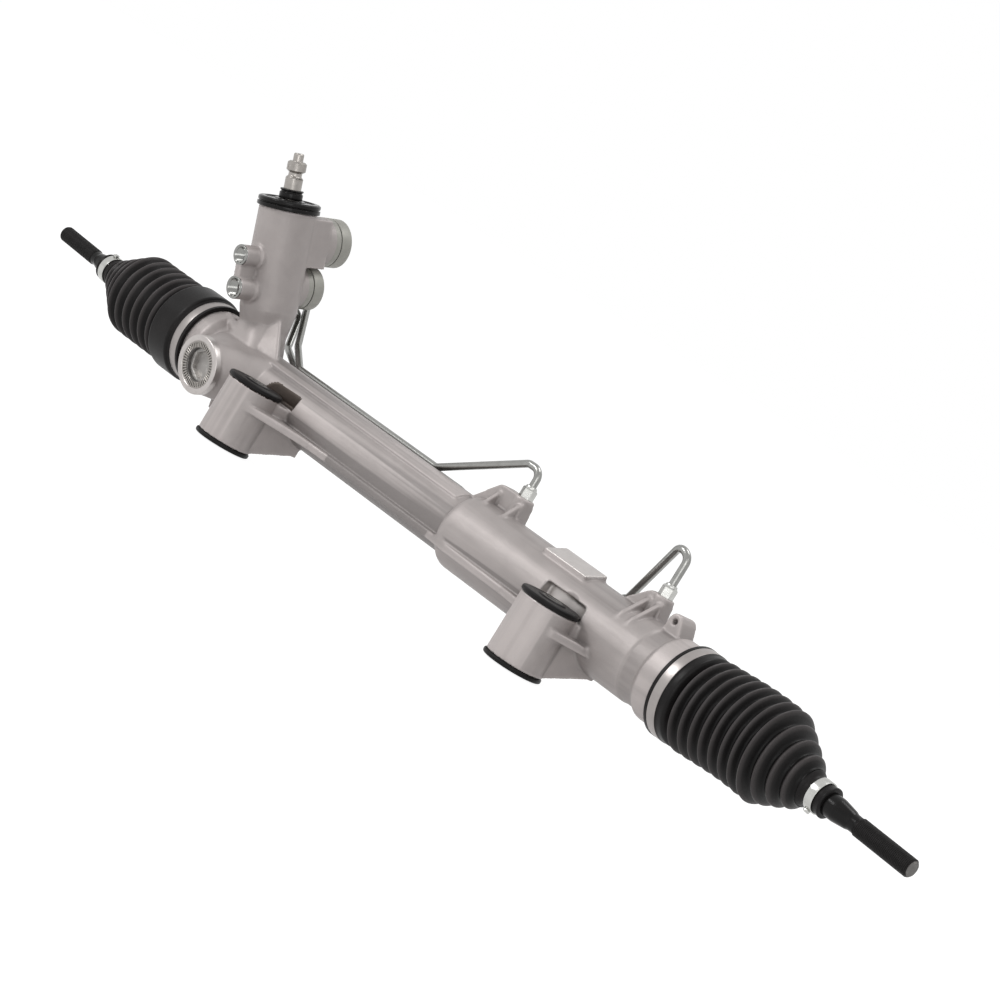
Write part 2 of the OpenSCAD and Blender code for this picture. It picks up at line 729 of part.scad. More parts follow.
module bottom_cover() color(zinc) at_seat() tower_frame() {
    translate([0, 0, foot_low]) cylinder(r = foot_r - 6, h = 6);
    translate([0, 0, foot_low - 3]) cylinder(r = foot_r - 2, h = 3);
    translate([0, 0, foot_low - 7]) hexagon(22, 4);
}

// Rotary valve and input shaft

module valve_sleeve() color(steel) at_seat() tower_frame() difference() {
    translate([0, 0, sleeve_low]) cylinder(r = sleeve_r - 0.3, h = sleeve_l);
    translate([0, 0, sleeve_low - overcut]) cylinder(r = spool_r + run_gap, h = sleeve_l + 2);
    for (k = [0 : 3]) translate([0, 0, sleeve_low + 12 + k * ring_pitch])
        ring_z(valve_bore_r + 2, valve_bore_r - 2.5, 0, 3);
    for (h = [lower_port_h, upper_port_h]) for (a = [0 : 60 : 300])
        rotate([0, 0, a]) bar_y(1.5, 0, h, -valve_bore_r - 2, -spool_r + 1);
}

module sleeve_rings() color(polymer) at_seat() tower_frame()
    for (k = [0 : 3]) translate([0, 0, sleeve_low + 12 + k * ring_pitch])
        ring_z(sleeve_r, valve_bore_r - 2.5, 0, 3);

module torsion_bar() color(dark_steel) at_seat() tower_frame()
    translate([0, 0, 4]) cylinder(r = torsion_r, h = shaft_top - 12);

// The shaft above the cap: seal journal, waist with two flats, and a splined head
module input_shaft() color(steel) at_seat() tower_frame() difference() {
    union() {
        translate([0, 0, sleeve_low + 8.5])
            cylinder(r = spool_r, h = shaft_bearing_low - sleeve_low - 9);
        translate([0, 0, shaft_bearing_low - 1])
            cylinder(r = shaft_r, h = flats_low + 1 - shaft_bearing_low);
        translate([0, 0, flats_low]) cylinder(r1 = shaft_r, r2 = shaft_r - 2, h = 2);
        translate([0, 0, flats_low + 2]) cylinder(r = shaft_r - 2, h = 3);
        translate([0, 0, flats_low + 5]) cylinder(r1 = shaft_r - 2, r2 = shaft_r + 0.8, h = 2);
        translate([0, 0, flats_low + 7]) cylinder(r = shaft_r + 0.8, h = 7);
        translate([0, 0, flats_low + 14]) cylinder(r1 = shaft_r + 0.8, r2 = shaft_r - 1, h = 1.5);
        translate([0, 0, flats_low + 14])
            cylinder(r = shaft_r - 3.4, h = shaft_top - flats_low - 15);
        translate([0, 0, shaft_top - 1])
            cylinder(r1 = shaft_r - 3.4, r2 = shaft_r - 4.2, h = 1);
    }
    cylinder(r = torsion_bore_r, h = shaft_top - 20);
    translate([0, 0, shaft_top - 21]) cylinder(r = torsion_r + run_gap, h = 13);
    bar_y(1.6, 0, flats_low + 10.5, -shaft_r - 3, 1 - shaft_r);
    for (a = [0 : 90 : 270]) rotate([0, 0, a]) translate([0, 0, sleeve_low + 20])
        translate([spool_r - 1, -2, 0]) cube([4, 4, 40]);
    for (side = [-1, 1]) translate([side * (shaft_r + 8.6), 0, flats_low + 3])
        translate([-10, -10, -4]) cube([20, 20, 7], center = false);
}

module shaft_bearing() color(steel) at_seat() tower_frame()
    ring_z(valve_bore_r, shaft_r + run_gap, shaft_bearing_low, shaft_bearing_low + 10);

module shaft_seal() color(rubber) at_seat() tower_frame()
    ring_z(valve_bore_r, shaft_r + run_gap, shaft_seal_low, shaft_seal_low + 8);

module tower_cap() color(rubber) at_seat() tower_frame() difference() {
    union() {
        translate([0, 0, tower_h - 5]) cylinder(r = valve_bore_r, h = 6);
        translate([0, 0, tower_h]) cylinder(r = cap_r, h = cap_t * 0.4);
        translate([0, 0, tower_h + cap_t * 0.4]) cylinder(r = cap_r - 1.4, h = cap_t * 0.12);
        translate([0, 0, tower_h + cap_t * 0.52]) cylinder(r = cap_r - 0.3, h = cap_t * 0.36);
        translate([0, 0, tower_h + cap_t * 0.88])
            cylinder(r1 = cap_r - 0.3, r2 = cap_r - 2, h = cap_t * 0.12);
    }
    translate([0, 0, tower_h - 6]) cylinder(r = shaft_r + part_gap, h = 30);
    translate([0, 0, cap_top - 1.5]) ring_z(cap_r - 6, collar_r + 3, 0, 5);
}

module dust_collar() color(rubber) at_seat() tower_frame() difference() {
    union() {
        translate([0, 0, cap_top + part_gap]) cylinder(r = collar_r, h = collar_h - 3);
        translate([0, 0, cap_top + 1]) cylinder(r = collar_r - 1.2, h = collar_h - 2);
        translate([0, 0, cap_top + collar_h - 1.2]) cylinder(r = collar_r, h = 1.6);
    }
    translate([0, 0, cap_top - 1]) cylinder(r = shaft_r, h = 30);
}

// Screwed plugs of the valve tower, with the seam that shows their O-rings

module valve_plug(r, h, seat) bar_y(r - plug_thread_drop, 0, h, seat - 10, seat + 2);

module upper_valve_plug() color(cast) at_seat() tower_frame() {
    valve_plug(upper_plug_r, upper_plug_h, upper_plug_seat);
    bar_y(upper_plug_r, 0, upper_plug_h, upper_plug_seat + plug_seam, upper_plug_seat + plug_t - 1.5);
    translate([0, upper_plug_seat + plug_t - 1.5, upper_plug_h]) rotate([-90, 0, 0])
        cylinder(r1 = upper_plug_r, r2 = upper_plug_r - 2.5, h = 1.5);
}

module lower_valve_plug() color(cast) at_seat() tower_frame() {
    valve_plug(lower_plug_r, lower_plug_h, lower_plug_seat);
    bar_y(lower_plug_r, 0, lower_plug_h, lower_plug_seat + plug_seam, lower_plug_seat + plug_t - 1.5);
    translate([0, lower_plug_seat + plug_t - 1.5, lower_plug_h]) rotate([-90, 0, 0])
        cylinder(r1 = lower_plug_r, r2 = lower_plug_r - 2.5, h = 1.5);
}

module plug_o_rings() color(rubber) at_seat() tower_frame()
    for (plug = [[upper_plug_r, upper_plug_h, upper_plug_seat],
                 [lower_plug_r, lower_plug_h, lower_plug_seat]]) difference() {
        bar_y(plug[0] - 1.2, 0, plug[1], plug[2], plug[2] + plug_seam);
        bar_y(plug[0] - plug_thread_drop, 0, plug[1], plug[2] - 1, plug[2] + 3);
    }

// Rack guide: yoke, liner, spring and adjuster plug

module yoke() color(steel) at_seat() gear_frame() difference() {
    bar_y(yoke_r - run_gap, 0, 0, -yoke_back, -4);
    rod_x(rack_r + saddle_gap + liner_t, -40, 40);
    bar_y(spring_r + spring_wire + 1, 0, 0, -yoke_back - overcut, 4 - yoke_back);
}

module yoke_liner() color(polymer) at_seat() gear_frame() intersection() {
    bar_y(yoke_r - 2, 0, 0, -yoke_back, -6);
    ring_x(rack_r + saddle_gap + liner_t, rack_r + saddle_gap, -40, 40);
}

// A wire bent into a helix, built ring by ring
function coil_point(i, n, len) = let (a = 360 * spring_turns * i / n)
    [spring_r * cos(a), spring_r * sin(a), len * i / n];
function wire_ring(i, n, len, sides) = let (
    a = 360 * spring_turns * i / n,
    out = [cos(a), sin(a), 0],
    along = unit([-sin(a), cos(a), len / (2 * PI * spring_r * spring_turns)]),
    up = cross(along, out)
) [for (k = [0 : sides - 1]) coil_point(i, n, len)
    + spring_wire * (cos(360 * k / sides) * out - sin(360 * k / sides) * up)];

module yoke_spring() {
    rings = 18 * spring_turns;
    sides = 8;
    len = yoke_reach - adjuster_t - yoke_back + 4 - 2 * spring_wire - 0.6;
    points = [for (i = [0 : rings]) each wire_ring(i, rings, len, sides)];
    faces = [
        [for (k = [0 : sides - 1]) k],
        for (i = [0 : rings - 1]) for (k = [0 : sides - 1])
            [i * sides + k, (i + 1) * sides + k, (i + 1) * sides + (k + 1) % sides,
                i * sides + (k + 1) % sides],
        [for (k = [sides - 1 : -1 : 0]) rings * sides + k]
    ];
    color(steel) at_seat() gear_frame()
        translate([0, 4 - yoke_back - spring_wire - 0.3, 0]) rotate([90, 0, 0])
        polyhedron(points, faces);
}

module yoke_adjuster() color(dark_steel) at_seat() gear_frame() {
    face = yoke_reach - 0.6;
    difference() {
        bar_y(adjuster_r, 0, 0, -face + 1, adjuster_t - yoke_reach);
        translate([0, 5 - face, 0]) rotate([90, 0, 0]) cylinder(r = 15.5, h = 6);
        translate([0, 10 - face, 0]) rotate([90, 30, 0]) hexagon(adjuster_hex, 12);
    }
    translate([0, 1 - face, 0]) rotate([90, 0, 0]) linear_extrude(1) difference() {
        circle(r = adjuster_r);
        circle(r = 15.5);
        for (k = [0 : adjuster_notches - 1]) rotate(360 * k / adjuster_notches)
            translate([17, -0.55]) square([adjuster_r, 1.1]);
    }
}

// Ball joints, mirrored for the two ends of the rack

module at_ball(side) at_seat() translate([side < 0 ? left_ball_x : right_ball_x, 0, 0])
    rotate([0, side < 0 ? 180 : 0, 0]) children();

// Frame of a tie rod, which hangs off the rack's line about its ball
module at_rod(side) at_ball(side) rotate([0, rod_tilt, 0]) children();
function ball_from_lip(side) = side < 0 ? -left_ball_x : right_ball_x - housing_l;

module lock_washers() color(zinc) for (side = [-1, 1]) at_ball(side)
    ring_x(tunnel_r - 0.5, stud_r, -socket_depth - washer_t, -socket_depth);

// A ball with its poles on X, so that a round mouth meets it squarely
module ball_x(r) rotate([0, 90, 0]) sphere(r = r);

module ball_socket(side) color(dark_steel) at_ball(side) difference() {
    union() {
        rod_x(socket_r, -socket_depth + 1.5, socket_mouth);
        turned_x([[-socket_depth, 0], [-socket_depth, socket_r - 1.5],
            [1.5 - socket_depth, socket_r], [1.5 - socket_depth, 0]]);
        rod_x(stud_r, -socket_depth - washer_t - stud_l, -socket_depth);
    }
    ball_x(ball_r + ball_liner);
    rod_x(ball_r, 0, socket_mouth + overcut);
    for (flat = [-1, 1]) translate([-socket_depth - overcut, -40, flat * (socket_r + 3.5) - 5])
        cube([10 + overcut, 80, 10]);
}

module ball_seat(side) color(polymer) at_ball(side) difference() {
    ball_x(ball_r + ball_liner);
    ball_x(ball_r + run_gap);
    rod_x(ball_r + 4, 5, 30);
}

module joint_ball(side) color(steel) at_ball(side) ball_x(ball_r);

module tie_rod(side) color(dark_steel) at_rod(side) {
    thread_from = rod_l - rod_thread_l;
    difference() {
        turned_x([
            [6, 0], [6, rod_neck_r], [17, rod_neck_r], [23, shank_r],
            [thread_from - 20, shank_r], [thread_from - 5, rod_thread_r],
            [thread_from - 4, rod_thread_r - 0.9], [thread_from, rod_thread_r - 0.9],
            [thread_from + 1, rod_thread_r], [rod_l - 1.5, rod_thread_r],
            [rod_l, rod_thread_r - 1.5], [rod_l, 0]
        ]);
        ball_x(ball_r + run_gap);
        for (flat = [0, 180]) rotate([flat, 0, 0])
            translate([thread_from - 16, -20, rod_thread_r - 1]) cube([10, 40, 10]);
    }
}

module left_socket() ball_socket(-1);
module right_socket() ball_socket(1);
module left_ball_seat() ball_seat(-1);
module right_ball_seat() ball_seat(1);
module left_ball() joint_ball(-1);
module right_ball() joint_ball(1);
module left_tie_rod() tie_rod(-1);
module right_tie_rod() tie_rod(1);

// Rubber boots: cuff, collar, folds that fall away at the outer end, and a tail on the rod

// Radius of the fold tops, which shrinks evenly after the last full fold
function crown(u, last) = min(fold_r, fold_r - fold_taper * (u - last));
function fold(u, first, pitch, last) = crown(u, last)
    - fold_depth * (1 - cos(360 * (u - first) / pitch)) / 2 * min(1, crown(u, last) / fold_r + 0.1);

// The cuff, the collar and the folds, turned about the rack's axis. A wall over 0 draws
// the hollow inside them, spigot and all.
module boot_body(first, pitch, folds, collar_r, collar_from, tail_from, wall) {
    last = first + pitch * (folds - 1);
    start = wall > 0 ? -overcut : 0;
    steps = 6;
    count = floor((tail_from - wall - first) / pitch * steps - 0.5);
    turned_x([
        [start, 0], [start, spigot_r + (wall > 0 ? 0 : boot_wall + 1.4)],
        if (wall == 0) each [
            [cuff_bead, band_seat_r + 1.4], [cuff_bead, band_seat_r], [cuff_l, band_seat_r]
        ],
        [wall > 0 ? boot_grip + 1 : cuff_l, wall > 0 ? spigot_r : band_seat_r + 1.2],
        [collar_from, collar_r - wall], [first - pitch * 0.75, collar_r - wall],
        for (i = [-steps / 2 : count]) let (u = first + i * pitch / steps)
            [u, fold(u, first, pitch, last) - wall],
        [tail_from - wall, fold(tail_from, first, pitch, last) - wall], [tail_from - wall, 0]
    ]);
}

module boot(side, length, first, pitch, folds, collar_r, collar_from) {
    tail_from = length - tail_l;
    color(rubber) difference() {
        union() {
            at_lip(side) boot_body(first, pitch, folds, collar_r, collar_from, tail_from, 0);
            at_rod(side) {
                rod_x(tail_r, tail_from - 3 - ball_from_lip(side),
                    length - 1 - ball_from_lip(side));
                rod_x(tail_r - 1, length - 2 - ball_from_lip(side), length - ball_from_lip(side));
            }
        }
        at_lip(side) boot_body(first, pitch, folds, collar_r, collar_from, tail_from, boot_wall);
        at_rod(side) rod_x(shank_r + run_gap, tail_from - 6 - ball_from_lip(side), length + overcut);
    }
}

module at_lip(side) at_seat() translate([side < 0 ? 0 : housing_l, 0, 0])
    rotate([0, side < 0 ? 180 : 0, 0]) children();

module left_boot()
    boot(-1, left_boot_l, left_first_fold, left_fold_pitch, left_folds, left_collar_r, 18);
module right_boot()
    boot(1, right_boot_l, right_first_fold, right_fold_pitch, right_folds, right_collar_r, 15);

module large_clamps() color(zinc) for (side = [-1, 1]) at_lip(side)
    ring_x(band_seat_r + clamp_t, band_seat_r, cuff_bead, cuff_bead + large_clamp_w);

// Band with a window and a pinched ear
module small_clamp(from) color(zinc) difference() {
    union() {
        rod_x(tail_r + clamp_t + run_gap, from, from + small_clamp_w);
        translate([from + 1.5, -2.2, tail_r - 1]) cube([small_clamp_w - 3, 4.4, 5]);
    }
    rod_x(tail_r + run_gap, from - overcut, from + small_clamp_w + overcut);
    translate([from + 3, -tail_r - 5, -3.5]) cube([2, 10, 7]);
}

module left_small_clamp() at_rod(-1) rotate([160, 0, 0])
    small_clamp(left_boot_l - 13 - ball_from_lip(-1));
module right_small_clamp() at_rod(1) rotate([160, 0, 0])
    small_clamp(right_boot_l - 15 - ball_from_lip(1));

// Rubber mounting bushes

module at_eye(i) at_seat() translate([mount_x + i * mount_pitch, -mount_reach, 0]) children();

module bush_shell(i) color(steel) at_eye(i)
    ring_z(bush_outer_r, bush_outer_r - 1.5, eye_low, 0);

module bush_rubber(i) color(rubber) at_eye(i) difference() {
    union() {
        translate([0, 0, eye_low]) cylinder(r = bush_outer_r - 1.5, h = eye_h);
        cylinder(r = flange_r - 0.8, h = 2);
        translate([0, 0, 0.8]) cylinder(r = flange_r, h = top_flange_t - 2.4);
        translate([0, 0, top_flange_t - 1.6])
            cylinder(r1 = flange_r, r2 = flange_r - 1.5, h = 1.6);
        translate([0, 0, eye_low - flange_t]) cylinder(r = flange_r - 0.8, h = flange_t);
        translate([0, 0, eye_low - flange_t + 0.8]) cylinder(r = flange_r, h = flange_t - 1.6);
    }
    translate([0, 0, -rack_height - overcut]) cylinder(r = bush_inner_r, h = rack_height + 20);
}

module bush_sleeve(i) color(dark_steel) at_eye(i)
    ring_z(bush_inner_r, bolt_r, -rack_height, sleeve_top);

module left_bush_shell() bush_shell(0);
module right_bush_shell() bush_shell(1);
module left_bush_rubber() bush_rubber(0);
module right_bush_rubber() bush_rubber(1);
module left_bush_sleeve() bush_sleeve(0);
module right_bush_sleeve() bush_sleeve(1);

// Steel pipes from the valve tower to the two ends of the cylinder

pipe_line = tube_r + pipe_r + 0.6;
left_line = pipe_line * [0, cos(69), sin(69)];
right_line = pipe_line * [0, cos(52), sin(52)];
cylinder_line = (cylinder_r + pipe_r + 1.2) * [0, cos(12), sin(12)];
pipe_in = flare_l - 1;
left_route = [
    tower_point(left_back - [0, pipe_in, 0]),
    tower_point(left_back + [0, 24, 0]),
    tower_point([-8, 54, right_back.z + 2]),
    [pinion_x + 18, 30, 44],
    [pinion_x + 54, 0, 0] + left_line,
    [left_port_x - 108, 0, 0] + left_line,
    [left_port_x - 16, cylinder_port_y, cylinder_port_h + 26],
    [left_port_x, cylinder_port_y, cylinder_port_h + 26],
    [left_port_x, cylinder_port_y, cylinder_port_h - pipe_in]
];
right_route = [
    tower_point(right_back - [0, pipe_in, 0]),
    tower_point(right_back + [0, 24, 0]),
    [pinion_x - 2, 40, 36],
    [pinion_x + 44, 0, 0] + right_line,
    [cylinder_x - 56, 0, 0] + right_line,
    [cylinder_x - 16, 0, 0] + cylinder_line,
    [right_port_x - 88, 0, 0] + cylinder_line,
    [right_port_x - 50, 32, 32],
    [right_port_x - 13, cylinder_port_y, cylinder_port_h + 42],
    [right_port_x, cylinder_port_y, cylinder_port_h + 36],
    [right_port_x, cylinder_port_y, cylinder_port_h - pipe_in]
];

module left_turn_pipe() color(zinc) at_seat() bent_bar(left_route, pipe_bend, pipe_r);

module right_turn_pipe() color(zinc) at_seat() bent_bar(right_route, pipe_bend, pipe_r);

module flare_nut() difference() {
    union() {
        hexagon(nut_w, nut_h);
        translate([0, 0, -flare_l + 1.5]) cylinder(r = flare_r - nut_bore_gap, h = flare_l);
    }
    translate([0, 0, -flare_l - 1]) cylinder(r = pipe_r + nut_bore_gap, h = flare_l + nut_h + 2);
}

module flare_nuts() color(zinc) at_seat() {
    for (x = [left_port_x, right_port_x])
        translate([x, cylinder_port_y, cylinder_port_h]) flare_nut();
    tower_frame() for (port = [left_back, right_back])
        translate(port) rotate([-90, 0, 0]) flare_nut();
}

// Bright seats pressed into the two hose ports
module port_seats() color(zinc) at_seat() tower_frame()
    for (port = [[upper_port_h, upper_port_r], [lower_port_h, lower_port_r]]) difference() {
        bar_y(port[1] - 1.5, 0, port[0], port_depth + part_gap - port_reach,
            port_depth + port_seat_t - port_reach);
        bar_y(2.5, 0, port[0], -port_reach, 0);
    }

rack_housing();
rack_bar();
piston();
piston_ring();
inner_rack_bush();
inner_rack_seal();
end_bush();
outer_rack_seal();
end_ring();
pinion();
needle_bearing();
ball_bearing();
pinion_nut();
bottom_cover();
valve_sleeve();
sleeve_rings();
torsion_bar();
input_shaft();
shaft_bearing();
shaft_seal();
tower_cap();
dust_collar();
upper_valve_plug();
lower_valve_plug();
plug_o_rings();
yoke();
yoke_liner();
yoke_spring();
yoke_adjuster();
lock_washers();
left_socket();
right_socket();
left_ball_seat();
right_ball_seat();
left_ball();
right_ball();
left_tie_rod();
right_tie_rod();
left_boot();
right_boot();
large_clamps();
left_small_clamp();
right_small_clamp();
left_bush_shell();
right_bush_shell();
left_bush_rubber();
right_bush_rubber();
left_bush_sleeve();
right_bush_sleeve();
left_turn_pipe();
right_turn_pipe();
flare_nuts();
port_seats();
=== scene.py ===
"""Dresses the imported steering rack: case, boots, tie rods, clamps, valve tower, pipes and studio."""

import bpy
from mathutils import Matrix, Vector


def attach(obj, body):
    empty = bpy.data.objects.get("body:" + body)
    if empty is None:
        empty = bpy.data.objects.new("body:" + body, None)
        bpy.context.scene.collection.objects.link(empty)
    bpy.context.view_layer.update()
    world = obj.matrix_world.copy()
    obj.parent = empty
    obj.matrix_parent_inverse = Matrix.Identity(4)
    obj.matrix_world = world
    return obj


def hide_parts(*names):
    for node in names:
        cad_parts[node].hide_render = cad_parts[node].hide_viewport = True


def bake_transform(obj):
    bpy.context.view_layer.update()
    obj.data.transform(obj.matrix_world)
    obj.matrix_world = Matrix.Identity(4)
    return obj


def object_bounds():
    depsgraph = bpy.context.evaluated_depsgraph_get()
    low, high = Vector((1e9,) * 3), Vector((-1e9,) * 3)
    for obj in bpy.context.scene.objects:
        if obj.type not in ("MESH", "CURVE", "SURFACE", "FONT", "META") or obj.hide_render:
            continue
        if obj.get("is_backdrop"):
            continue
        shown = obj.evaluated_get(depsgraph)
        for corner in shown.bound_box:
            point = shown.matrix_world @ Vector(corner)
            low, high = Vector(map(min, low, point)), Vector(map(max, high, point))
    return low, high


bl_info = {
    "name": "Steering rack dressing",
    "version": (1, 0, 0),
    "blender": (4, 5, 0),
    "location": "3D View > Sidebar > Rack",
    "description": "Builds the visible pieces and finishes of a hydraulic steering rack on its CAD frame",
    "category": "Object",
}

import math

import bmesh
import bpy
import numpy as np
from bpy.props import FloatProperty, FloatVectorProperty, IntProperty, PointerProperty
from mathutils import Matrix, Vector

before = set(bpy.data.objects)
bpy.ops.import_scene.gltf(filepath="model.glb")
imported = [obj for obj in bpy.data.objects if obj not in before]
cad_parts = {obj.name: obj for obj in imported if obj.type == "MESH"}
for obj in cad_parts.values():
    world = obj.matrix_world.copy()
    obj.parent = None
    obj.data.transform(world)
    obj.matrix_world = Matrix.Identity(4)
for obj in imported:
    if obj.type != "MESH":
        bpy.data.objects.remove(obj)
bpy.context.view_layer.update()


# Frames of the CAD source. Shapes are drawn in millimetres and placed by one of these.


def shift(x, y=0, z=0):
    return Matrix.Translation((x, y, z))


def turn(degrees, axis):
    return Matrix.Rotation(math.radians(degrees), 4, axis)


SIDES = ("left", "right")
LEAN, SKEW, ROD_DROOP = 16, 11.5, 2
CASE_END = 655
BALL_FROM_LIP = {"left": 112, "right": 104}
RACK = shift(-0.126, 0.052, 0.060) @ Matrix.Scale(0.001, 4)
GEAR = RACK @ shift(46) @ turn(LEAN, "X")
TOWER = GEAR @ shift(0, 17.475) @ turn(-SKEW, "Y")
LIPS = {"left": RACK @ turn(180, "Y"), "right": RACK @ shift(CASE_END)}
BALLS = {side: LIPS[side] @ shift(BALL_FROM_LIP[side]) for side in SIDES}
RODS = {side: BALLS[side] @ turn(ROD_DROOP, "Y") for side in SIDES}
EYE_X = {"left": 126, "right": 537}
EYE_Y = -52
EYES = {side: RACK @ shift(EYE_X[side], EYE_Y) for side in SIDES}
UP = turn(-90, "Y")
FRONT = turn(-90, "Z")
BACK = turn(90, "Z")


# Sizes and colours that a user would change


def length(name, description, value):
    return FloatProperty(name=name, description=description, default=value, unit="LENGTH", subtype="DISTANCE")


def colour(name, description, value):
    return FloatVectorProperty(
        name=name, description=description, default=value, size=3, min=0, max=1, subtype="COLOR",
    )


class RackSizes(bpy.types.PropertyGroup):
    fold_radius: length("Fold radius", "Radius of the boots' fold tops", 0.0415)
    fold_depth: length("Fold depth", "Depth of the boots' folds", 0.006)
    boot_wall: length("Boot wall", "Wall of the rubber boots", 0.0024)
    boot_bulge: length("Boot bulge", "How far the right boot bulges upwards at its middle", 0.003)
    rod_pitch: length("Rod thread pitch", "Pitch of the tie rods' thread", 0.0015)
    port_pitch: length("Port thread pitch", "Pitch of the hose ports' threads", 0.0015)
    band_width: length("Clamp width", "Width of the large clamp bands", 0.009)
    cast_voxel: length("Casting grid", "Grid size on which the casting's edges are softened", 0.0011)
    cast_rounds: IntProperty(
        name="Casting rounds", description="How often the casting's edges are softened", default=5, min=0,
        max=40,
    )
    pipe_radius: length("Pipe radius", "Outer radius of the steel pipes", 0.0035)
    pipe_bend: length("Pipe bend", "Bend radius of the steel pipes", 0.009)
    notches: IntProperty(
        name="Adjuster notches", description="Notches around the yoke adjuster", default=48, min=12, max=90,
    )
    splines: IntProperty(
        name="Shaft splines", description="Splines on the input shaft's tip", default=30, min=12, max=60,
    )


class RackColours(bpy.types.PropertyGroup):
    cast: colour("Casting", "As-cast aluminium", (0.40, 0.365, 0.355))
    machined: colour("Machined", "Machined aluminium", (0.50, 0.47, 0.455))
    steel: colour("Steel", "Ground steel", (0.34, 0.32, 0.30))
    zinc: colour("Zinc", "Bright zinc plate", (0.50, 0.50, 0.48))
    clamp: colour("Clamps", "Steel clamp bands", (0.34, 0.315, 0.305))
    port: colour("Ports", "Threads of the hose ports", (0.26, 0.26, 0.25))
    plug: colour("Plugs", "Valve plugs", (0.34, 0.335, 0.305))
    # painted shade and painted reflection of the black bush on the left pocket's wall; the right pocket is
    # machined
    shade: colour("Pocket", "Painted shade and painted reflection on the wall of the left eye's pocket", (0.060, 0.046, 0.038))
    black_steel: colour("Black steel", "Blackened steel", (0.010, 0.009, 0.009))
    iron: colour("Adjuster", "Grey phosphated steel", (0.13, 0.125, 0.12))
    rubber: colour("Rubber", "Black rubber", (0.010, 0.009, 0.009))
    bronze: colour("Bronze", "Sintered bronze", (0.42, 0.27, 0.12))
    polymer: colour("Polymer", "Moulded polymer", (0.66, 0.62, 0.48))
    floor: colour("Floor", "Studio floor", (0.80, 0.80, 0.80))


# Shader maths


class Wire:
    """A socket that Python's own operators work on, each adding a Math node."""

    def __init__(self, finish, socket):
        self.finish, self.socket = finish, socket

    def math(self, operation, *others):
        return self.finish.node("Math", {"operation": operation}, dict(enumerate((self, *others))))

    def __add__(self, other):
        return self.math("ADD", other)

    __radd__ = __add__

    def __mul__(self, other):
        return self.math("MULTIPLY", other)

    __rmul__ = __mul__

    def __sub__(self, other):
        return self.math("SUBTRACT", other)

    def __rsub__(self, other):
        return self.finish.node("Math", {"operation": "SUBTRACT"}, {0: other, 1: self})

    def __gt__(self, other):
        return self.math("GREATER_THAN", other)

    def above(self, low, high):
        """0 below low, 1 above high, and even in between."""
        return self.finish.node(
            "MapRange", {"clamp": True}, {"Value": self, "From Min": low, "From Max": high},
        )


class Finish:
    """The nodes of one material or world while they are made."""

    def __init__(self, name, owner=None):
        self.owner = owner or bpy.data.materials.new(name)
        self.owner.use_nodes = True
        self.tree = self.owner.node_tree
        self.tree.nodes.clear()
        self.place = None if owner else self.node("TexCoord", out="Object")

    def node(self, kind, settings=None, sockets=None, out=0):
        """Adds a node, sets it up, fills or links its sockets, and returns one of its outputs."""
        made = self.tree.nodes.new("ShaderNode" + kind)
        for key, value in (settings or {}).items():
            if key == "stops":
                ramp = made.color_ramp.elements
                while len(ramp) < len(value):
                    ramp.new(0.5)
                for stop, (at, shade) in zip(ramp, value):
                    stop.position, stop.color = at, (*shade, 1)
            else:
                setattr(made, key, value)
        for key, value in (sockets or {}).items():
            if isinstance(value, Wire):
                self.tree.links.new(value.socket, made.inputs[key])
            else:
                made.inputs[key].default_value = value
        return Wire(self, made.outputs[out])

    def noise(self, per_metre, detail=3, roughness=0.55, vector=None, stretch=None):
        """Noise from 0 to 1 with that many features in a metre."""
        where = vector or self.place
        if stretch:
            where = self.node("Mapping", {}, {"Vector": where, "Scale": stretch})
        return self.node(
            "TexNoise", {}, {"Vector": where, "Scale": per_metre, "Detail": detail, "Roughness": roughness},
            out="Fac",
        )

    def mix(self, share, one, other):
        """Colour one where share is 0, other where it is 1."""
        colours = {"A": one, "B": other}
        made = self.tree.nodes.new("ShaderNodeMix")
        made.data_type = "RGBA"
        for socket in made.inputs:
            if socket.type == "RGBA" and socket.name in colours:
                value = colours[socket.name]
                if isinstance(value, Wire):
                    self.tree.links.new(value.socket, socket)
                else:
                    socket.default_value = (*value, 1)
        self.tree.links.new(share.socket, made.inputs[0])
        return Wire(self, [s for s in made.outputs if s.type == "RGBA"][0])

    def bump(self, height, depth, normal=None):
        """A normal that stands a height from 0 to 1 out by depth metres."""
        sockets = {"Height": height, "Distance": depth, "Strength": 1.0}
        if normal:
            sockets["Normal"] = normal
        return self.node("Bump", {}, sockets, out="Normal")

    def done(self, **sockets):
        """Closes the material with a Principled shader; underscores stand for spaces."""
        named = {key.replace("_", " "): value for key, value in sockets.items()}
        if not isinstance(named["Base Color"], Wire):
            named["Base Color"] = (*named["Base Color"], 1)
        return self.close(self.node("BsdfPrincipled", {}, named))

    def close(self, shader, kind="Material"):
        output = self.tree.nodes.new("ShaderNodeOutput" + kind)
        self.tree.links.new(shader.socket, output.inputs["Surface"])
        return self.owner

    def in_view(self):
        """1 for rays from the camera, a reflection or glass, and 0 for light that falls on a surface."""
        kinds = ("Is Camera Ray", "Is Glossy Ray", "Is Transmission Ray")
        camera, glossy, through = (self.node("LightPath", out=kind) for kind in kinds)
        return (camera + glossy + through) > 0.5


def darker(rgb, share):
    return tuple(channel * share for channel in rgb)


